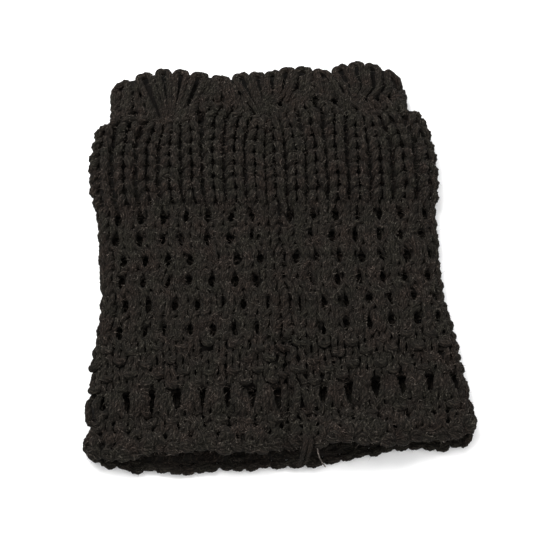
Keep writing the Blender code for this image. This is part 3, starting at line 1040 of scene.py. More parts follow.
@dataclass
class Cuff(Section):
    """The scalloped fan edge and the ribs below it. Its courses count up, as negative numbers."""

    name: str = "cuff"
    slot: str = "cuff_yarn"
    stitches: int = 62
    right_first: int = 47
    left_count: float = 16.3  # stitches from the seam to the left fold
    right_count: float = 15.2
    spread: float = 1.7  # how far stitches crowd towards the seam
    end_y: float = 22.9
    seam_lap: float = 0.6
    seam_right_rise: float = -1.5
    seam_left_rise: float = -0.8
    rib_top_y: float = 64.0
    rib_courses: int = 7
    level_span: tuple[float, float] = (-0.2, 1.6)  # how far levels go on, in heights of the ribs
    top_edge_y: float = 88.6
    edge_marks: Marks = (
        # x and y of the scalloped edge
        (-66.0, 86.0), (-60.0, 89.6), (-51.0, 92.4), (-42.0, 94.8), (-33.0, 94.2), (-24.0, 91.6),
        (-16.0, 90.2), (-10.5, 89.0), (-4.0, 91.0), (3.0, 90.4), (12.0, 92.4), (19.0, 92.6), (26.0, 91.0),
        (32.0, 89.4), (39.0, 93.0), (46.0, 94.2), (52.0, 92.2), (57.0, 89.6), (61.0, 85.8), (66.0, 80.5),
    )
    back_drop: float = 1.6  # how far the lower layer's edge stays behind the upper one's
    fan_repeat: float = 42.0
    fan_centre_x: float = 4.0
    fan_base_y: float = 65.8
    fan_level: float = -10.0  # the course whose stitches the fans' loops stand above
    arch_rise: float = 7.6  # of the line where the ribs start
    rib_rise: float = 2.2  # of the first whole course of ribs
    squeeze: float = 2.6  # how far the ribs are drawn towards the fans' centres
    squeeze_y: float = 68.0
    squeeze_reach: float = 11.0
    fold_reach: float = 16.0  # from a side fold, within which fans and arches flatten out
    short_courses: int = 2  # knotty courses that fill the arches between the ribs and the fans
    tuck: float = 1.5  # how deep those courses lie below a fan's base
    tuck_shrink: float = 0.2  # of their radius there
    tuck_start: float = 2.0  # how fast they tuck in, to a course
    fan_courses: float = 2.0  # height of the fans, in courses, for the web behind them
    base_share: float = 0.27  # a leg's distance from its fan's centre at its base, of that at the edge
    lean_start: float = 1.1  # over 1, legs stand more upright at the edge
    outer_rise: float = 1.2  # how far the outer legs of a fan lie over the inner ones
    crest_start: float = 12.0  # from a fan's centre; further out, legs are shorter and more upright
    crest_lift: float = 2.6
    upright_swell: float = 0.45  # of a leg's radius at its base, where it stands upright
    lean_shrink: float = 0.36  # of the same, where it leans in fully
    lobe_depth: float = 0.15  # spread of the depth of loops
    link_drop: float = 1.0
    link_depth: float = -2.2
    crest_rows: tuple[float, ...] = (0.3, 0.5, 0.66, 0.8)  # how far up the arch each row of knots starts
    crest_drop: float = 0.12
    crest_pitch: float = 0.36
    crest_tall: float = 0.40
    lobe_top: float = 1.7
    top_unevenness: float = 0.9
    fan_per: int = 6  # samples between two rows of a lobe, so that the ply doesn't pinch the long legs
    lobe: Rows = (
        # across, share of the way down, depth, radius
        (-2.0, 1.06, -1.3, 1.15), (-2.1, 0.86, 0.9, 1.40), (-2.3, 0.55, 1.6, 1.50), (-2.5, 0.28, 1.8, 1.60),
        (-2.5, 0.08, 1.3, 1.65), (-1.6, 0.01, 0.9, 1.65), (0.0, 0.00, 0.6, 1.60),
    )
    knit: Loop = Loop((
        (-0.50, -0.86, -2.2, 0.95), (-0.38, -0.80, -1.8, 1.00), (-0.31, -0.50, -0.4, 1.35),
        (-0.39, -0.10, 1.6, 1.85), (-0.53, 0.30, 1.6, 1.90), (-0.58, 0.64, 0.0, 1.40),
        (-0.32, 0.90, -1.7, 1.00), (0.0, 0.96, -2.1, 0.95),
    ))
    purl: Loop = Loop((
        (-0.50, -0.80, -2.3, 1.0), (-0.20, -0.70, -2.5, 0.95), (-0.22, 0.10, -2.7, 0.95),
        (-0.26, 0.70, -2.5, 0.95), (0.0, 0.90, -2.3, 0.95),
    ))
    knot: Loop = Loop((
        (-0.50, -0.62, -0.6, 1.15), (-0.26, -0.40, 0.9, 1.45), (-0.30, 0.10, 1.6, 1.70),
        (-0.36, 0.52, 1.0, 1.45), (0.0, 0.74, -0.4, 1.15),
    ))
    crest_eyelets: Marks = ((-53.7, 70.0), (-25.5, 68.3), (-17.5, 75.5), (24.6, 72.6), (32.4, 71.6))
    eyelet_half_width: float = 1.7
    eyelet_half_height: float = 1.5

    def __post_init__(self) -> None:
        """Keep the eyelets below the fans as openings, with the same ones on the lower layer."""
        size = (self.eyelet_half_width, self.eyelet_half_height)
        layers = ((0, -1), (2, 1))  # the quarter of each layer's middle, and which way x runs there
        places = [(quarter, side * x, y) for quarter, side in layers for x, y in self.crest_eyelets]
        self.openings = Openings(tuple(Gap(*place, *size) for place in places))

    def level(self, c: Array) -> Array:
        """Height of course c before its tilt and arches."""
        return self.end_y + (self.rib_top_y - self.end_y) * np.clip(-c / self.rib_courses, *self.level_span)

    def round_at(self, s: Array, c: Array) -> Array:
        """Find the place round the tube of stitches.

        Args:
            s: Stitches.
            c: Their courses.

        Returns:
            Places round the tube, at the courses' levels.
        """
        y = self.level(c)
        girth, seam = self.tube.half_girth(y), self.tube.read(y, "seam_x")
        back_first, back_last = self.left_count, self.stitches - self.right_count
        left_share, share = s / self.left_count, (s - back_last) / self.right_count
        left = -seam + (girth + seam) * s / self.left_count
        left = left - self.spread * np.sin(math.pi * np.clip(left_share, 0, 1))
        back = girth + 2 * girth * (s - back_first) / (back_last - back_first)
        right = 3 * girth + (girth - seam) * share + self.spread * np.sin(math.pi * np.clip(share, 0, 1))
        e = np.where(s < back_first, left, np.where(s < back_last, back, right))
        pull = self.squeeze * np.exp(-(((y - self.squeeze_y) / self.squeeze_reach) ** 2))
        pull = pull * self.away_from_fold(e, y) * np.sin(self.fan_phase(self.tube.plan_x(e, y)))
        return e + np.where(self.tube.across(e, y)[1], pull, -pull)

    def away_from_fold(self, e: Array, y: Array) -> Array:
        """0 at the side folds, and 1 a few stitches from them."""
        return smooth((self.tube.half_girth(y) - np.abs(self.tube.across(e, y)[0])) / self.fold_reach)

    def fan_phase(self, x: Array) -> Array:
        """Angle round a fan repeat, 0 at a fan's centre."""
        return 2.0 * math.pi * (x - self.fan_centre_x) / self.fan_repeat

    def arch(self, e: Array, y: Array) -> Array:
        """0 at a fan's centre and 1 at the arch between two fans."""
        return (1.0 - np.cos(self.fan_phase(self.tube.plan_x(e, y)))) / 2 * self.away_from_fold(e, y)

    def height_at(self, c: Array, e: Array) -> Array:
        """Find the height of courses.

        Args:
            c: Courses.
            e: Places round the tube.

        Returns:
            Heights.
        """
        up, arch = -c, self.arch(e, self.level(c))
        rib = self.end_y + (self.rib_top_y - self.end_y) * np.minimum(up, self.rib_courses) / self.rib_courses
        rib = rib + self.rib_rise * arch * smooth(up / self.rib_courses)
        first = self.fan_base_y + self.arch_rise * arch
        above = np.clip((up - self.rib_courses) / self.short_courses, 0.0, 1.0)
        x = self.tube.plan_x(e, self.level(c))
        y = self.tube.course(rib + (first - rib) * above, x)
        fan = np.clip(up - self.rib_courses - self.short_courses, 0.0, None) / self.fan_courses
        return y + (along_marks(x, self.edge_marks) - y) * fan

    def gathered(self, rows: Array) -> Array:
        """Tuck the short courses in below the fans' bases, where they have no room.

        Args:
            rows: Rows of stitch, course, depth and radius.

        Returns:
            The rows, tucked in.
        """
        rows = rows.copy()
        s, c = rows[:, 0], rows[:, 1]
        starting, ending = -c - self.rib_courses, self.rib_courses + self.short_courses + c
        above = smooth(self.tuck_start * starting) * smooth(self.tuck_start * ending)
        tucked = above * (1.0 - self.arch(self.round_at(s, c), self.level(c)))
        rows[:, 2] -= self.tuck * tucked
        rows[:, 3] *= 1.0 - self.tuck_shrink * tucked
        return rows

    def fan_centre(self, x: Array) -> Array:
        """The fan centre that is nearest to x."""
        return self.fan_centre_x + self.fan_repeat * np.round((x - self.fan_centre_x) / self.fan_repeat)

    def fans(self) -> dict[Panel, Strand]:
        """Make the cast-on edge: tall loops, whose legs draw together at each fan's base.

        Returns:
            The yarn of each panel.
        """
        half = np.array(self.lobe)
        steps = np.concatenate((half, half[-2::-1] * (-1.0, 1.0, 1.0, 1.0)))
        blocks, owners = [], []
        level, edge = np.array([self.fan_level]), np.array([self.top_edge_y])
        for s in np.arange(1.5, self.stitches, 2.0):
            e = self.tube.carried(self.round_at(np.array([s]), level), self.level(level), edge)
            lobe = self.fan_lobe(e[0], steps)
            if blocks:
                middle = (blocks[-1][-1] + lobe[0]) / 2
                middle[1:3] = middle[1] - self.link_drop, self.link_depth
                blocks.append(middle[None, :])
                owners.append(s - 1.0)
            blocks.append(lobe)
            owners += [s] * len(lobe)
        sampled = curve_through(np.concatenate(blocks), self.fan_per)
        cuts = np.searchsorted(owners, (self.left_last, self.right_first)) * self.fan_per
        return self.panels(sampled, *cuts, lambda rows: self.laid(*rows.T))

    def fan_lobe(self, top_e: float, steps: Array) -> Array:
        """Make one tall loop of a fan.

        Args:
            top_e: Its place round the tube at the edge.
            steps: Rows of across, share of the way down, depth and radius.

        Returns:
            Rows of place round the tube, height, depth and radius.
        """
        level = np.full(len(steps), self.top_edge_y)
        leg_e, share = top_e + steps[:, 0], np.clip(steps[:, 1], 0.0, 1.0)
        _, upper = self.tube.across(leg_e, level)
        x_leg = self.tube.plan_x(leg_e, level)
        off = x_leg - self.fan_centre(x_leg)
        by_crest = smooth((np.abs(off) - self.crest_start) / (self.fan_repeat / 2 - self.crest_start))
        lean = (1.0 - self.base_share) * (1.0 - by_crest) * self.away_from_fold(leg_e, level)
        base_e = leg_e + np.where(upper, 1.0, -1.0) * off * lean
        e = leg_e + (base_e - leg_e) * share**self.lean_start
        depth = steps[:, 2] + self.rng.normal(0.0, self.lobe_depth)
        depth = depth + self.outer_rise * np.abs(off) / self.fan_repeat * 2 * share
        base = self.tube.course(np.full(len(steps), self.fan_base_y), self.tube.plan_x(base_e, level))
        base = base + self.arch_rise * self.arch(base_e, level) + self.crest_lift * by_crest
        top = along_marks(x_leg, self.edge_marks) - self.lobe_top - self.top_unevenness * self.rng.random()
        top = top - np.where(upper, 0.0, self.back_drop)
        y = top + (base - top) * steps[:, 1]
        radius = steps[:, 3] * (1.0 + share * (self.upright_swell * (1.0 - lean) - self.lean_shrink * lean))
        return np.stack((self.tube.carried(e, level, y), y, depth, radius), axis=1)

    def courses(self) -> list[dict[Panel, Strand]]:
        """Make the fans, the ribs with their short courses, and the knots in the arches' crests.

        Returns:
            The yarn of each length, by panel.
        """
        ribbed = [self.knit if index % 2 == 1 else self.purl for index in range(self.stitches)]
        top = self.rib_courses + self.short_courses
        made = [self.fans(), *(self.course(-step - 0.5, ribbed) for step in reversed(range(top)))]
        return made + self.crest_knots(top)

    def crest_knots(self, top: int) -> list[dict[Panel, Strand]]:
        """Make short lengths that fill the crests of the arches, below the loops whose legs part there.

        Args:
            top: The number of courses below the fans.

        Returns:
            One length for each crest in each panel.
        """
        at, level = np.arange(self.stitches) + 0.5, np.full(self.stitches, -float(top))
        x = self.tube.plan_x(self.round_at(at, level), self.level(level))
        rise = (1.0 - np.cos(self.fan_phase(x))) / 2
        limits = (0, self.left_last, self.right_first, self.stitches)
        made = []
        for row, start_rise in enumerate(self.crest_rows):
            middle = -top - self.crest_drop - self.crest_pitch * row
            for panel, first, last in zip(Panel, limits, limits[1:]):
                inside = (rise[first:last] > start_rise).astype(int)
                ends = np.flatnonzero(np.diff(np.concatenate(([0], inside, [0])))) + first
                for start, end in zip(ends[::2], ends[1::2]):
                    rows, _ = self.loop_rows(middle, [self.knot] * (end - start), self.crest_tall, start)
                    made.append({panel: self.lay(rows)})
        return made


class EyeletRow(NamedTuple):
    """One row of eyelets, with how far it is moved across, and whether it has one by the seam."""

    y: float
    shift_left: float
    shift_right: float
    by_seam: bool


@dataclass
class Leg(Section):
    """The leg, knitted with rows of eyelets, two courses to a row."""

    name: str = "leg"
    slot: str = "leg_yarn"
    start_y: float = 22.9
    end_y: float = -36.8
    rows: tuple[EyeletRow, ...] = (
        EyeletRow(17.4, 0.0, 0.5, True), EyeletRow(7.5, -1.1, -1.7, False),
        EyeletRow(-2.2, 1.9, 0.5, True), EyeletRow(-12.0, 0.2, -1.5, False),
        EyeletRow(-22.0, 2.8, 1.6, True), EyeletRow(-32.9, 0.0, 0.6, False),
    )
    gap_largest: float = 1.15
    left_x: float = -5.5
    left_pitch: float = 9.3
    right_x: float = 9.8
    right_pitch: float = 9.2
    each_side: int = 7
    half_width: float = 1.4
    half_height: float = 2.9
    seam_right_rise: float = 1.2
    seam_left_rise: float = -1.4
    valley: float = 1.3
    knit: Loop = Loop((
        (-0.50, -0.80, -1.2, 1.00), (-0.22, -0.70, -0.6, 1.05), (-0.20, -0.30, 0.8, 1.25),
        (-0.32, 0.15, 1.3, 1.38), (-0.42, 0.55, 0.8, 1.25), (-0.32, 0.88, -0.3, 1.05),
        (0.0, 0.98, -1.0, 1.00),
    ))

    def __post_init__(self) -> None:
        """Work out where each row's eyelets are, and keep them as openings.

        A row that has none by the seam leaves out the one nearest to it on the right.
        """
        gaps = []
        for c, row in zip(self.marks()[1:-1], self.rows):
            for knot in self.knots(row)[1:-1]:
                if row.by_seam or knot.stitch != self.stitches - 1.0:
                    gaps.append(self.gap_at(knot, c, self.half_width, self.half_height))
        self.openings = Openings(tuple(gaps), dip=self.dip)

    def marks(self) -> list[float]:
        """The leg's first course, those that the rows of eyelets are on, and the last."""
        return [0.0, *(1.0 + 2.0 * index for index in range(len(self.rows))), 2.0 * len(self.rows)]

    def knots(self, row: EyeletRow) -> list[Knot]:
        """Fix where stitches are on a row.

        Args:
            row: The row.

        Returns:
            The seam, a stitch by each eyelet, and the seam again.
        """
        seam = float(self.tube.read(np.array([row.y]), "seam_x")[0])
        left_x, right_x = self.left_x + row.shift_left, self.right_x + row.shift_right
        side = range(self.each_side)
        left = [Knot(2.0 + 2 * k, 0, left_x - self.left_pitch * k) for k in side]
        right = [Knot(self.stitches - 1.0 - 2 * k, 4, right_x + self.right_pitch * k) for k in side]
        seen = [knot.x + self.left_pitch / 2 for knot in left[::-1]]
        seen += [knot.x - self.right_pitch / 2 for knot in right]
        back = [Knot(self.back_start + 2 * k, 2, x) for k, x in enumerate(seen)]
        return [Knot(0.0, 0, seam), *left, *back, *right[::-1], Knot(float(self.stitches), 4, seam)]

    def level(self, c: Array) -> Array:
        """Height at which course c crosses the middle."""
        return np.interp(c, self.marks(), [self.start_y, *(row.y for row in self.rows), self.end_y])

    def round_at(self, s: Array, c: Array) -> Array:
        """Find the place round the tube of stitches.

        Args:
            s: Stitches.
            c: Their courses.

        Returns:
            Places round the tube, at the courses' levels.
        """
        girth, marks = self.tube.half_girth(self.level(c)), self.marks()[1:-1]
        places = []
        for column in zip(*(self.knots(row) for row in self.rows)):
            places.append(column[0].round(girth, np.interp(c, marks, [knot.x for knot in column])))
        return self.between(s, np.array([knot.stitch for knot in self.knots(self.rows[0])]), places)

    def height_at(self, c: Array, e: Array) -> Array:
        """Height of course c at place e round the tube."""
        y = self.level(c)
        return self.tube.course(y, self.tube.plan_x(e, y))

    def courses(self) -> list[dict[Panel, Strand]]:
        """The leg's courses."""
        return [self.course(step + 0.5, [self.knit] * self.stitches) for step in range(2 * len(self.rows))]


@dataclass
class Hem(Section):
    """The moss band, the tall ladder course, the courses below it and the bound-off edge."""

    name: str = "hem"
    slot: str = "hem_yarn"
    stitches: int = 57
    right_first: int = 44
    levels: Marks = (
        # course and the height at which it crosses the middle
        (0.0, -36.8), (4.0, -57.8), (5.0, -69.2), (6.0, -73.9), (7.0, -78.6), (8.0, -84.4), (9.0, -88.4),
    )
    edge_start_y: float = -69.2  # where courses start to follow the edge
    edge_y: float = -87.3
    edge_marks: Marks = (
        # x and y of the upper layer's edge
        (-75.5, -80.8), (-70.0, -83.4), (-63.5, -85.4), (-56.0, -84.6), (-49.0, -83.4), (-36.5, -83.9),
        (-23.7, -85.2), (-10.6, -86.2), (-4.0, -85.2), (2.0, -83.8), (8.0, -84.6), (14.0, -85.2),
        (22.0, -85.3), (28.0, -86.2), (41.5, -85.8), (51.0, -84.8), (61.0, -83.9), (69.0, -82.4),
        (75.5, -80.4),
    )
    back_edge_marks: Marks = (
        # x and y of the lower layer's edge
        (-76.0, -81.5), (-66.0, -86.2), (-58.0, -88.2), (-50.0, -88.6), (-30.0, -89.6), (-10.0, -90.0),
        (10.0, -89.9), (17.0, -89.5), (30.0, -87.8), (38.0, -86.2), (46.0, -85.3), (61.0, -85.6),
        (69.5, -86.0), (74.5, -81.5),
    )
    ladder_left_x: float = 0.0
    ladder_left_pitch: float = 9.75
    ladders_left: int = 8
    ladder_right_x: float = 17.0
    ladder_right_pitch: float = 10.5
    ladders_right: int = 6
    unevenness: float = 0.08
    slant: float = 0.07
    seam_right_rise: float = 1.6
    seam_left_rise: float = -2.1
    valley: float = 1.5
    gap_smallest: float = 0.45
    ladder_course: float = 4.0  # where the ladder starts, and how far down it its gaps are
    ladder_gap_drop: float = 5.9 / 11.4
    ladder_half_width: float = 0.9
    ladder_half_height: float = 2.3
    ladder_taper: float = 0.15
    pit_courses: tuple[float, float] = (6.4, 7.4)
    pit_half_width: float = 0.85
    pit_half_height: float = 0.83
    gather: float = 0.42  # how far the ladder's stitches are drawn together, as a share
    gather_start: float = 0.25
    gather_length: float = 0.85
    gather_reach: float = 0.95  # from the middle of a pair, in stitches, and how fast it ends there
    gather_fade: float = 4.0
    chain_course: float = 8.4
    slim_radius: float = 1.3  # which the lower layer's chain keeps, with its forms slimmed around it
    slim: Triple = (0.6, 0.8, 0.75)  # shares of its length along, depth and radius
    knit: Loop = Loop((
        (-0.50, -0.80, -1.2, 1.10), (-0.22, -0.68, -0.5, 1.15), (-0.20, -0.28, 0.9, 1.35),
        (-0.32, 0.15, 1.4, 1.50), (-0.41, 0.55, 0.8, 1.35), (-0.32, 0.86, -0.2, 1.15),
        (0.0, 0.96, -1.0, 1.10),
    ))
    seed: Loop = Loop((
        (-0.50, -0.64, -1.0, 1.10), (-0.25, -0.52, -0.3, 1.15), (-0.20, -0.18, 0.6, 1.28),
        (-0.28, 0.16, 0.8, 1.32), (-0.30, 0.46, 0.2, 1.22), (-0.21, 0.70, -0.7, 1.10),
        (0.0, 0.78, -1.0, 1.05),
    ))
    bump: Loop = Loop((
        (-0.50, -0.64, -1.0, 1.10), (-0.32, -0.54, -0.3, 1.15), (-0.22, -0.26, 0.3, 1.25),
        (-0.27, 0.04, 0.6, 1.35), (-0.26, 0.28, 1.2, 1.50), (0.0, 0.38, 1.4, 1.75),
    ))
    post: Loop = Loop((
        (-0.50, -0.62, -0.9, 1.15), (-0.26, -0.56, -0.2, 1.2), (-0.18, -0.38, 1.0, 1.5),
        (-0.24, -0.12, 1.5, 1.75), (-0.34, 0.16, 1.5, 1.75), (-0.38, 0.40, 0.7, 1.5), (0.0, 0.56, -0.3, 1.3),
    ))
    link: Loop = Loop((
        (-0.50, 0.10, -0.4, 1.05), (-0.36, -0.16, 0.6, 1.45), (-0.08, -0.34, 1.1, 1.80),
        (0.24, -0.20, 0.9, 1.60), (0.42, 0.05, 0.2, 1.15), (0.22, 0.30, 0.5, 1.40),
        (-0.08, 0.36, 0.4, 1.50), (-0.36, 0.28, -0.2, 1.20),
    ), mirrored=False)

    def __post_init__(self) -> None:
        """Work out where the ladder's gaps and the dents below it are, and keep them as openings."""
        ladder = self.ladder_course + self.ladder_gap_drop
        size = (self.ladder_half_width, self.ladder_half_height)
        gaps = [self.gap_at(knot, ladder, *size) for knot in self.knots()]
        self.openings = Openings((*gaps, *self.pits()), taper=self.ladder_taper, dip=self.dip)

    def pits(self) -> list[Gap]:
        """Make dents below the ladder on the upper layer, at every second stitch of a course.

        Returns:
            The dents, which the second course has between those of the first.
        """
        knots, made = [knot for knot in self.knots() if knot.quarter != 2], []
        for moved, c in enumerate(self.pit_courses):
            for knot, after in zip(knots, knots[1:]):
                if moved and knot.quarter == after.quarter:
                    knot = knot._replace(x=(knot.x + after.x) / 2)
                made.append(self.gap_at(knot, c, self.pit_half_width, self.pit_half_height))
        return made

    def knots(self) -> list[Knot]:
        """Fix where stitches are.

        Returns:
            A stitch by each of the ladder's gaps.
        """
        left_x, left_pitch = self.ladder_left_x, self.ladder_left_pitch
        right_x, right_pitch, last = self.ladder_right_x, self.ladder_right_pitch, self.stitches - 2.0
        left = [Knot(1.0 + 2 * k, 0, left_x - left_pitch * k) for k in range(self.ladders_left)]
        right = [Knot(last - 2 * k, 4, right_x + right_pitch * k) for k in range(self.ladders_right)]
        seen = [knot.x for knot in (*left[::-1], *right)]
        back = [Knot(self.back_start + 2 * k, 2, (a + b) / 2) for k, (a, b) in enumerate(zip(seen, seen[1:]))]
        return [*left, *back, *right[::-1]]

    def level(self, c: Array) -> Array:
        """Height at which course c crosses the middle."""
        return along_marks(c, self.levels)

    def round_at(self, s: Array, c: Array) -> Array:
        """Find the place round the tube of stitches.

        Args:
            s: Stitches.
            c: Their courses.

        Returns:
            Places round the tube, at the courses' levels.
        """
        y, knots = self.level(c), self.knots()
        girth, seam = self.tube.half_girth(y), self.tube.read(y, "seam_x")
        marks = np.array([0.0, *(knot.stitch for knot in knots), float(self.stitches)])
        return self.between(s, marks, [-seam, *(knot.round(girth) for knot in knots), 4 * girth - seam])

    def height_at(self, c: Array, e: Array) -> Array:
        """Find the height of courses, the last of which follow the edge.

        Args:
            c: Courses.
            e: Places round the tube.

        Returns:
            Heights.
        """
        y = self.level(c)
        x, (_, upper) = self.tube.plan_x(e, y), self.tube.across(e, y)
        edge = np.where(upper, along_marks(x, self.edge_marks), along_marks(x, self.back_edge_marks))
        share = smooth((self.edge_start_y - y) / (self.edge_start_y - self.edge_y))
        return self.tube.course(y, x) + (edge - self.tube.course(np.full_like(x, self.edge_y), x)) * share

    def gathered(self, rows: Array) -> Array:
        """Draw the ladder course's stitches together in pairs at its top.

        Args:
            rows: Rows of stitch, course, depth and radius.

        Returns:
            The rows, drawn together.
        """
        rows = rows.copy()
        s = rows[:, 0]
        marks = np.array([knot.stitch for knot in self.knots()])
        middles = (marks[:-1] + marks[1:]) / 2
        near = middles[np.argmin(np.abs(s[:, None] - middles[None, :]), axis=1)]
        past_top = (rows[:, 1] - self.ladder_course) / self.gather_length
        drawn = self.gather * smooth(1.0 + past_top / self.gather_start) * (1.0 - smooth(past_top))
        past = self.gather_fade * np.abs(s - near) - self.gather_fade * self.gather_reach
        rows[:, 0] = s + (near - s) * drawn * (1.0 - smooth(past))
        return rows

    def chain(self) -> dict[Panel, Strand]:
        """Make the bound-off chain: plump links along the edge, each tucked into the next.

        Returns:
            The yarn of each panel.
        """
        along, deep, thick = self.slim
        kept = self.slim_radius
        rows = ((a, along * b, deep * n, kept + thick * (r - kept)) for a, b, n, r in self.link.half)
        slim, back = Loop(tuple(rows), mirrored=False), range(self.left_last, self.right_first)
        links = [slim if index in back else self.link for index in range(self.stitches)]
        return self.course(self.chain_course, links)

    def courses(self) -> list[dict[Panel, Strand]]:
        """Make the moss band, the ladder course, the moss, knit and post courses, and the chain.

        Returns:
            The yarn of each course, by panel.
        """
        count = range(self.stitches)
        checked = [[self.seed if (index + step) % 2 else self.bump for index in count] for step in range(2)]
        knit, post = [self.knit] * self.stitches, [self.post] * self.stitches
        plan = [*checked, *checked, post, checked[1], knit, post]
        return [*(self.course(step + 0.5, loops) for step, loops in enumerate(plan)), self.chain()]


# ---------------------------------------------------------------- dark backing, seam and fuzz


@dataclass(frozen=True)
class Span:
    """The courses of a section that the dark backing sheet covers."""

    section: Section
    first: float
    last: float
    depth: float  # outwards from the wall's middle, on the upper layer
    cut: bool = True  # whether its gaps go through the web


@dataclass(frozen=True)
class ShadeBacking:
    """A thin dark sheet inside the knitting, which closes the small gaps between its loops; its dark colour
    is painted shade for those gaps.
    """

    step: float = 0.5  # stitches and courses
    under_depth: float = 0.2  # on the lower layer, whose loops show on its inner side
    thickness: float = 0.6
    rim: float = -0.45  # between a gap and the web, which reaches a little into it
    fold_reach: float = 9.0  # from a side fold; nearer, the web lies at the yarn's middle
    clearance: float = 0.3  # above the floor
    smallest: float = 1.0  # half height of a gap that goes through the web
    cut_width: float = 290.0
    cut_length: float = 178.0

    def strip(self, span: Span) -> tuple[Array, Array]:
        """Lay one section's web on the tube and cut its gaps.

        Args:
            span: The section and its courses.

        Returns:
            Points and faces.
        """
        section = span.section
        s = np.arange(0.0, section.stitches + self.step / 2, self.step)
        c = np.append(np.arange(span.first, span.last, self.step), span.last)
        wide, high = len(s), len(c)
        e, y, rise = section.place(np.tile(s, high), np.repeat(c, wide), np.zeros(wide * high))
        across, upper = section.tube.across(e, y)
        girth = 4 * section.tube.half_girth(y)
        inwards = smooth((girth / 4 - np.abs(across)) / self.fold_reach)
        depth = rise + np.where(upper, span.depth, self.under_depth) * inwards
        kept = np.ones(len(e), bool)
        gaps = tuple(gap for gap in section.openings.gaps if span.cut and gap.half_height > self.smallest)
        for gap in gaps:
            away = np.hypot(gap.offset(e, girth) / gap.half_width, (y - gap.y) / gap.half_height)
            kept[np.argmin(away)] = False
        points = section.tube.point(*Openings(gaps).part(e, y, girth, self.rim), depth)
        points[:, 2] = np.maximum(points[:, 2], self.thickness + self.clearance)
        index = np.arange(wide * high).reshape(high, wide)
        corners = (index[:-1, :-1], index[:-1, 1:], index[1:, 1:], index[1:, :-1])
        quads = np.stack(corners, axis=-1).reshape(-1, 4)
        return points, quads[kept[quads].all(axis=1)]

    def build(self, spans: list[Span], finish: Material) -> Piece:
        """Make the web of the whole tube as one thin shell.

        Args:
            spans: The sections and their courses.
            finish: The web's material.

        Returns:
            The piece.
        """
        strips = [self.strip(span) for span in spans]
        starts = np.cumsum([0] + [len(points) for points, _ in strips[:-1]])
        points = np.concatenate([points for points, _ in strips])
        faces = np.concatenate([quads + start for (_, quads), start in zip(strips, starts)])
        used, renumbered = np.unique(faces, return_inverse=True)
        piece = new_mesh_object("ground_cloth", points[used], faces=renumbered.reshape(faces.shape).tolist())
        piece.data.materials.append(finish)
        piece.data.shade_smooth()
        shell = piece.modifiers.new("wall", "SOLIDIFY")
        shell.thickness, shell.offset = self.thickness * MM, -1.0
        return piece


@dataclass(frozen=True)
class SeamYarn:
    """The yarn that joins the two edges, and the loose ends below the hem."""

    tube: LaidTube
    top_y: float = 82.0
    end_y: float = -85.5
    pitch: float = 2.9
    reach: float = 1.5
    radius: float = 0.6
    depths: tuple[float, float] = (0.2, -0.4)  # of the zigzag's left and right points
    per: tuple[int, int] = (4, 6)  # samples between two points of the zigzag, and of a loose end
    tails: tuple[tuple[Triple, ...], ...] = (
        # free ends: x, y, z
        ((9.2, -81.4, 11.6), (9.0, -84.4, 13.2), (8.0, -87.2, 12.0), (6.9, -89.4, 8.8), (6.0, -90.9, 5.2)),
        ((10.8, -82.4, 11.4), (10.6, -85.6, 12.9), (9.6, -88.2, 10.2), (8.4, -90.2, 6.4)),
    )
    tail_radius: float = 1.35
    tail_taper: float = 0.55
    thread: tuple[Triple, ...] = (
        (13.0, -83.0, 11.0), (13.2, -84.9, 9.0), (13.7, -87.0, 5.6), (14.8, -89.0, 3.0), (16.3, -90.6, 1.2),
    )
    thread_radius: float = 0.28

    def sewing(self) -> list[Strand]:
        """Sew the zigzag down the seam, and leave its two ends loose.

        Returns:
            The lengths of yarn.
        """
        count = int((self.top_y - self.end_y) / self.pitch)
        y, turn = np.linspace(self.top_y, self.end_y, count), np.arange(count) % 2
        e = -self.tube.read(y, "seam_x") + self.reach * np.where(turn, 1.0, -1.0)
        depth = np.where(turn, self.depths[1], self.depths[0])
        e, y, depth = curve_through(np.stack((e, y, depth), axis=1), self.per[0]).T
        points = self.tube.point(e, self.tube.course(y, -e), depth)
        ends = [self.loose(tail, self.tail_radius, self.tail_taper) for tail in self.tails]
        return [Strand(points, np.full(len(points), self.radius)), *ends]

    def pale_thread(self) -> list[Strand]:
        """The pale thread that hangs from the seam."""
        return [self.loose(self.thread, self.thread_radius, 1.0)]

    def loose(self, marks: tuple[Triple, ...], radius: float, taper: float) -> Strand:
        """One loose end through some points, whose radius tapers to a share of itself."""
        points = curve_through(np.array(marks), self.per[1])
        return Strand(points, np.linspace(radius, radius * taper, len(points)))


@dataclass(frozen=True)
class FibreKind:
    """One kind of loose fibre."""

    density: float  # to a square millimetre of yarn
    shortest: float
    longest: float
    radius: float
    segments: int
    bend: float
    steepest: float  # lean from upright, radians
    flattest: float


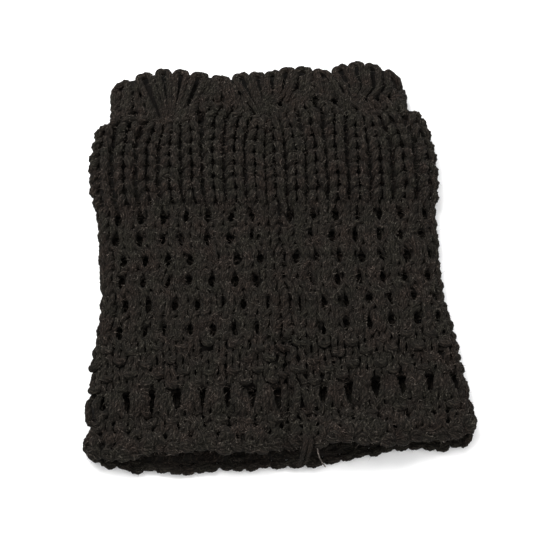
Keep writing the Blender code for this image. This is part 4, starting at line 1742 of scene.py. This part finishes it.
@dataclass
class Fuzz:
    """Loose fibres that stand off the yarn."""

    kinds: tuple[FibreKind, ...] = (
        FibreKind(0.17, 0.8, 2.0, 0.08, 1, 0.0, 0.8, 1.50),
        FibreKind(0.026, 1.8, 3.6, 0.055, 2, 0.30, 0.4, 1.35),
    )
    under_share: float = 0.35  # of fibres on the lower layer, which lies on the floor
    floor: float = 0.1
    steepest_normal: float = -0.1  # of the faces that bear fibres
    kind_seed: int = 100
    group: bpy.types.NodeTree = field(init=False)

    def __post_init__(self) -> None:
        """Build the tree once."""
        self.group = self.tree()

    def tree(self) -> bpy.types.NodeTree:
        """Build the tree that grows the fibres.

        Returns:
            A tree with the inputs Density, Facing, Seed and Finish.
        """
        inputs = {"Geometry": "Geometry", "Density": "Float", "Facing": "Float", "Seed": "Int"}
        inputs["Finish"] = "Material"
        t = Tree.group("loose_fibres", "GeometryNodeTree", inputs, {"Geometry": "Geometry"})
        normal = t.apart(t.out("GeometryNodeInputNormal"))[2]
        outer = t.math("GREATER_THAN", t.math("MULTIPLY", normal, t.given["Facing"]), self.steepest_normal)
        every = t.node("GeometryNodeJoinGeometry")
        for number, kind in enumerate(self.kinds):
            t.join(self.fibres(t, kind, outer, self.kind_seed * number), every.inputs[0])
        real = t.out("GeometryNodeRealizeInstances", {"Geometry": every.outputs[0]})
        x, y, z = t.apart(t.out("GeometryNodeInputPosition"))
        above = t.xyz(x, y, t.math("MAXIMUM", z, self.floor * MM))
        return t.finished(t.out("GeometryNodeSetPosition", {"Geometry": real, "Position": above}))

    def fibres(self, t: Tree, kind: FibreKind, outer: Socket, seed: int) -> Socket:
        """Add the nodes that scatter one kind of fibre.

        Args:
            t: The tree.
            kind: The kind of fibre.
            outer: Which faces bear fibres.
            seed: A number of its own for each kind.

        Returns:
            The fibres.
        """

        def between(low: float, high: float, number: int) -> Socket:
            """Random values, one for each fibre."""
            limits = {2: low, 3: high, "Seed": seed + number}
            return t.out("FunctionNodeRandomValue", limits, 1, data_type="FLOAT")

        spread = t.node("GeometryNodeDistributePointsOnFaces", {
            "Mesh": t.given["Geometry"],
            "Selection": outer,
            "Density": t.math("MULTIPLY", t.given["Density"], kind.density / MM**2),
            "Seed": t.math("ADD", t.given["Seed"], float(seed)),
        })
        angles = t.xyz(between(kind.steepest, kind.flattest, 1), 0.0, between(0.0, 2 * math.pi, 2))
        lean = {
            "Rotation": spread.outputs["Rotation"],
            "Rotate By": t.out("FunctionNodeEulerToRotation", {0: angles}),
        }
        leaned = t.out("FunctionNodeRotateRotation", lean, rotation_space="LOCAL")
        form = {"Vertices": 3, "Side Segments": kind.segments}
        form |= {"Radius Top": 0.0, "Radius Bottom": 1.0, "Depth": 1.0}
        up = t.apart(t.out("GeometryNodeInputPosition"))[2]
        sideways = t.math("MULTIPLY", t.math("MULTIPLY", up, up), kind.bend * kind.longest / kind.radius)
        cone = {"Geometry": t.out("GeometryNodeMeshCone", form), "Offset": t.xyz(y=sideways)}
        long = between(kind.shortest * MM, kind.longest * MM, 3)
        return t.out("GeometryNodeInstanceOnPoints", {
            "Points": spread.outputs[0],
            "Instance": t.out("GeometryNodeSetPosition", cone),
            "Rotation": leaned,
            "Scale": t.xyz(kind.radius * MM, kind.radius * MM, long),
        })

    def grow(self, yarn: Piece, seed: int, finish: Material) -> Piece:
        """The loose fibres, whose pale is partly painted glints, the dark backing sheet, whose colour is
        painted shade, and the pale thread, which are mottled.
            finish: Their material.

        Returns:
            The fibres as a piece of their own.
        """
        piece = linked(bpy.data.objects.new(yarn.name.replace("_yarn", "_fuzz"), yarn.data.copy()))
        piece.data.materials.clear()
        under = Panel.BACK.value in yarn.name
        density, facing = (self.under_share, -1.0) if under else (1.0, 1.0)
        values = {"Density": density, "Facing": facing, "Seed": seed, "Finish": finish}
        return run_tree(piece, self.group, values)


@dataclass(frozen=True)
class Knitter:
    """Turns sections into yarn pieces that stand for the frame's nodes."""

    sweep: YarnSweep
    sides: tuple[int, int, int] = (9, 7, 9)  # of the yarn in each panel
    seam_sides: int = 8

    def knit(self, section: Section, finish: Material) -> list[Piece]:
        """Make one yarn piece for each panel of a section.

        Args:
            section: The section.
            finish: The yarn's material.

        Returns:
            The pieces.
        """
        courses, made = section.courses(), []
        for panel, sides in zip(Panel, self.sides):
            node = f"{section.name}_{panel.value}"
            strands = [course[panel] for course in courses if panel in course]
            made.append(enter(self.sweep.sweep(f"{node}_yarn", strands, sides, finish), section.slot, node))
        return made

    def sew(self, name: str, strands: list[Strand], slot: str, finish: Material) -> Piece:
        """Make one piece of the seam's yarn."""
        return enter(self.sweep.sweep(name, strands, self.seam_sides, finish), slot)


# ---------------------------------------------------------------- the set


@dataclass(frozen=True)
class Lamp:
    """A square area light that points at the object."""

    name: str
    place: Triple
    width: float
    power: float

    def build(self) -> None:
        """Make the light."""
        data = bpy.data.lights.new(self.name, "AREA")
        data.size, data.energy = self.width * MM, self.power
        lamp = linked(bpy.data.objects.new(self.name, data))
        lamp.location = Vector(self.place) * MM
        lamp.rotation_euler = (-Vector(self.place)).to_track_quat("-Z", "Y").to_euler()


@dataclass(frozen=True)
class Studio:
    """A pale floor, soft light and the camera."""

    target: Triple = (-1.09, -1.89, 0.0)
    eye: Triple = (-17.18, -272.76, 510.34)
    lens: float = 94.56
    sensor: float = 36.0
    floor_reach: float = 3000.0
    floor_albedo: float = 0.96
    floor_roughness: float = 0.9
    world_strength: float = 1.02
    lamps: tuple[Lamp, ...] = (
        Lamp("softbox", (-240.0, 260.0, 640.0), 420.0, 5.0),
        Lamp("fill", (500.0, -500.0, 600.0), 700.0, 1.6),
    )

    def build(self) -> None:
        """Make the camera, the floor and the lights."""
        bpy.context.scene.view_settings.view_transform = "Standard"
        self.place_camera()
        self.lay_floor()
        self.light_world()
        for lamp in self.lamps:
            lamp.build()

    def place_camera(self) -> None:
        """Make the camera and point it at the target."""
        data = bpy.data.cameras.new("camera")
        data.lens, data.sensor_width = self.lens, self.sensor
        camera = linked(bpy.data.objects.new("camera", data))
        camera.location = Vector(self.eye) * MM
        camera.rotation_euler = (Vector(self.target) - Vector(self.eye)).to_track_quat("-Z", "Y").to_euler()
        bpy.context.scene.camera = camera

    def lay_floor(self) -> None:
        """Make the floor and its paint."""
        corners = np.array([(-1, -1, 0), (1, -1, 0), (1, 1, 0), (-1, 1, 0)]) * self.floor_reach
        floor = new_mesh_object("floor", corners, faces=[(0, 1, 2, 3)])
        paint = bpy.data.materials.new("floor_paint")
        paint.use_nodes = True
        sockets = paint.node_tree.nodes["Principled BSDF"].inputs
        sockets["Base Color"].default_value = (*[self.floor_albedo] * 3, 1.0)
        sockets["Roughness"].default_value = self.floor_roughness
        floor.data.materials.append(paint)

    def light_world(self) -> None:
        """Make the soft white light from all round."""
        world = bpy.data.worlds.new("studio")
        bpy.context.scene.world = world
        world.use_nodes = True
        sockets = world.node_tree.nodes["Background"].inputs
        sockets["Color"].default_value = (1.0, 1.0, 1.0, 1.0)
        sockets["Strength"].default_value = self.world_strength


def main() -> None:
    """Build the leg warmer and its set."""
    logging.basicConfig(level=logging.INFO, format="%(name)s: %(message)s")
    Studio().build()
    tube, effects, knitter, fuzz = LaidTube(), Effects(), Knitter(YarnSweep()), Fuzz()
    dark, leg_pale = (0.0046, 0.0038, 0.0031), (0.0345, 0.0282, 0.0222)
    # The hem's pale is a little darker than the cuff's and the leg's, though it is the same yarn: painted
    # shade over the hem.
    pales = {"cuff_yarn": leg_pale, "leg_yarn": leg_pale, "hem_yarn": (0.0323, 0.0264, 0.0208)}
    # The loose fibres' pale is bright enough to stand for painted glints as well as pale fibres.
    loose = FibreFinish("loose_fibre", (0.016, 0.0135, 0.0115), (0.24, 0.205, 0.172)).material(effects)
    # The dark backing sheet's mottle is painted shade for the gaps between the loops.
    web = FibreFinish("felted_web", (0.0034, 0.0028, 0.0023), (0.0095, 0.0080, 0.0066)).material(effects)
    dressed = {slot: YarnFinish(slot, dark, pale).material(effects) for slot, pale in pales.items()}

    kinds = (Cuff, Leg, Hem)
    cuff, leg, hem = (kind(tube, np.random.default_rng(SECTION_SEED + n)) for n, kind in enumerate(kinds))
    yarn = [piece for section in (cuff, leg, hem) for piece in knitter.knit(section, dressed[section.slot])]

    backing = ShadeBacking()
    spans = [
        Span(cuff, first=-10.94, last=0.0, depth=-2.0, cut=False),
        Span(leg, first=0.0, last=12.0, depth=-1.0),
        Span(hem, first=0.0, last=8.0, depth=-1.9),
    ]
    backing_piece = enter(backing.build(spans, web), leg.slot)
    for number, piece in enumerate(yarn):
        slot = f"{piece.name.split('_')[0]}_yarn"
        enter(fuzz.grow(piece, FUZZ_SEED + number, loose), slot)

    seam = SeamYarn(tube)
    pale = FibreFinish("pale_thread", (0.04, 0.036, 0.032), (0.24, 0.215, 0.19)).material(effects)
    knitter.sew("seam_yarn", seam.sewing(), hem.slot, dressed[hem.slot])
    knitter.sew("seam_thread", seam.pale_thread(), hem.slot, pale)


if __name__ == "__main__":
    main()
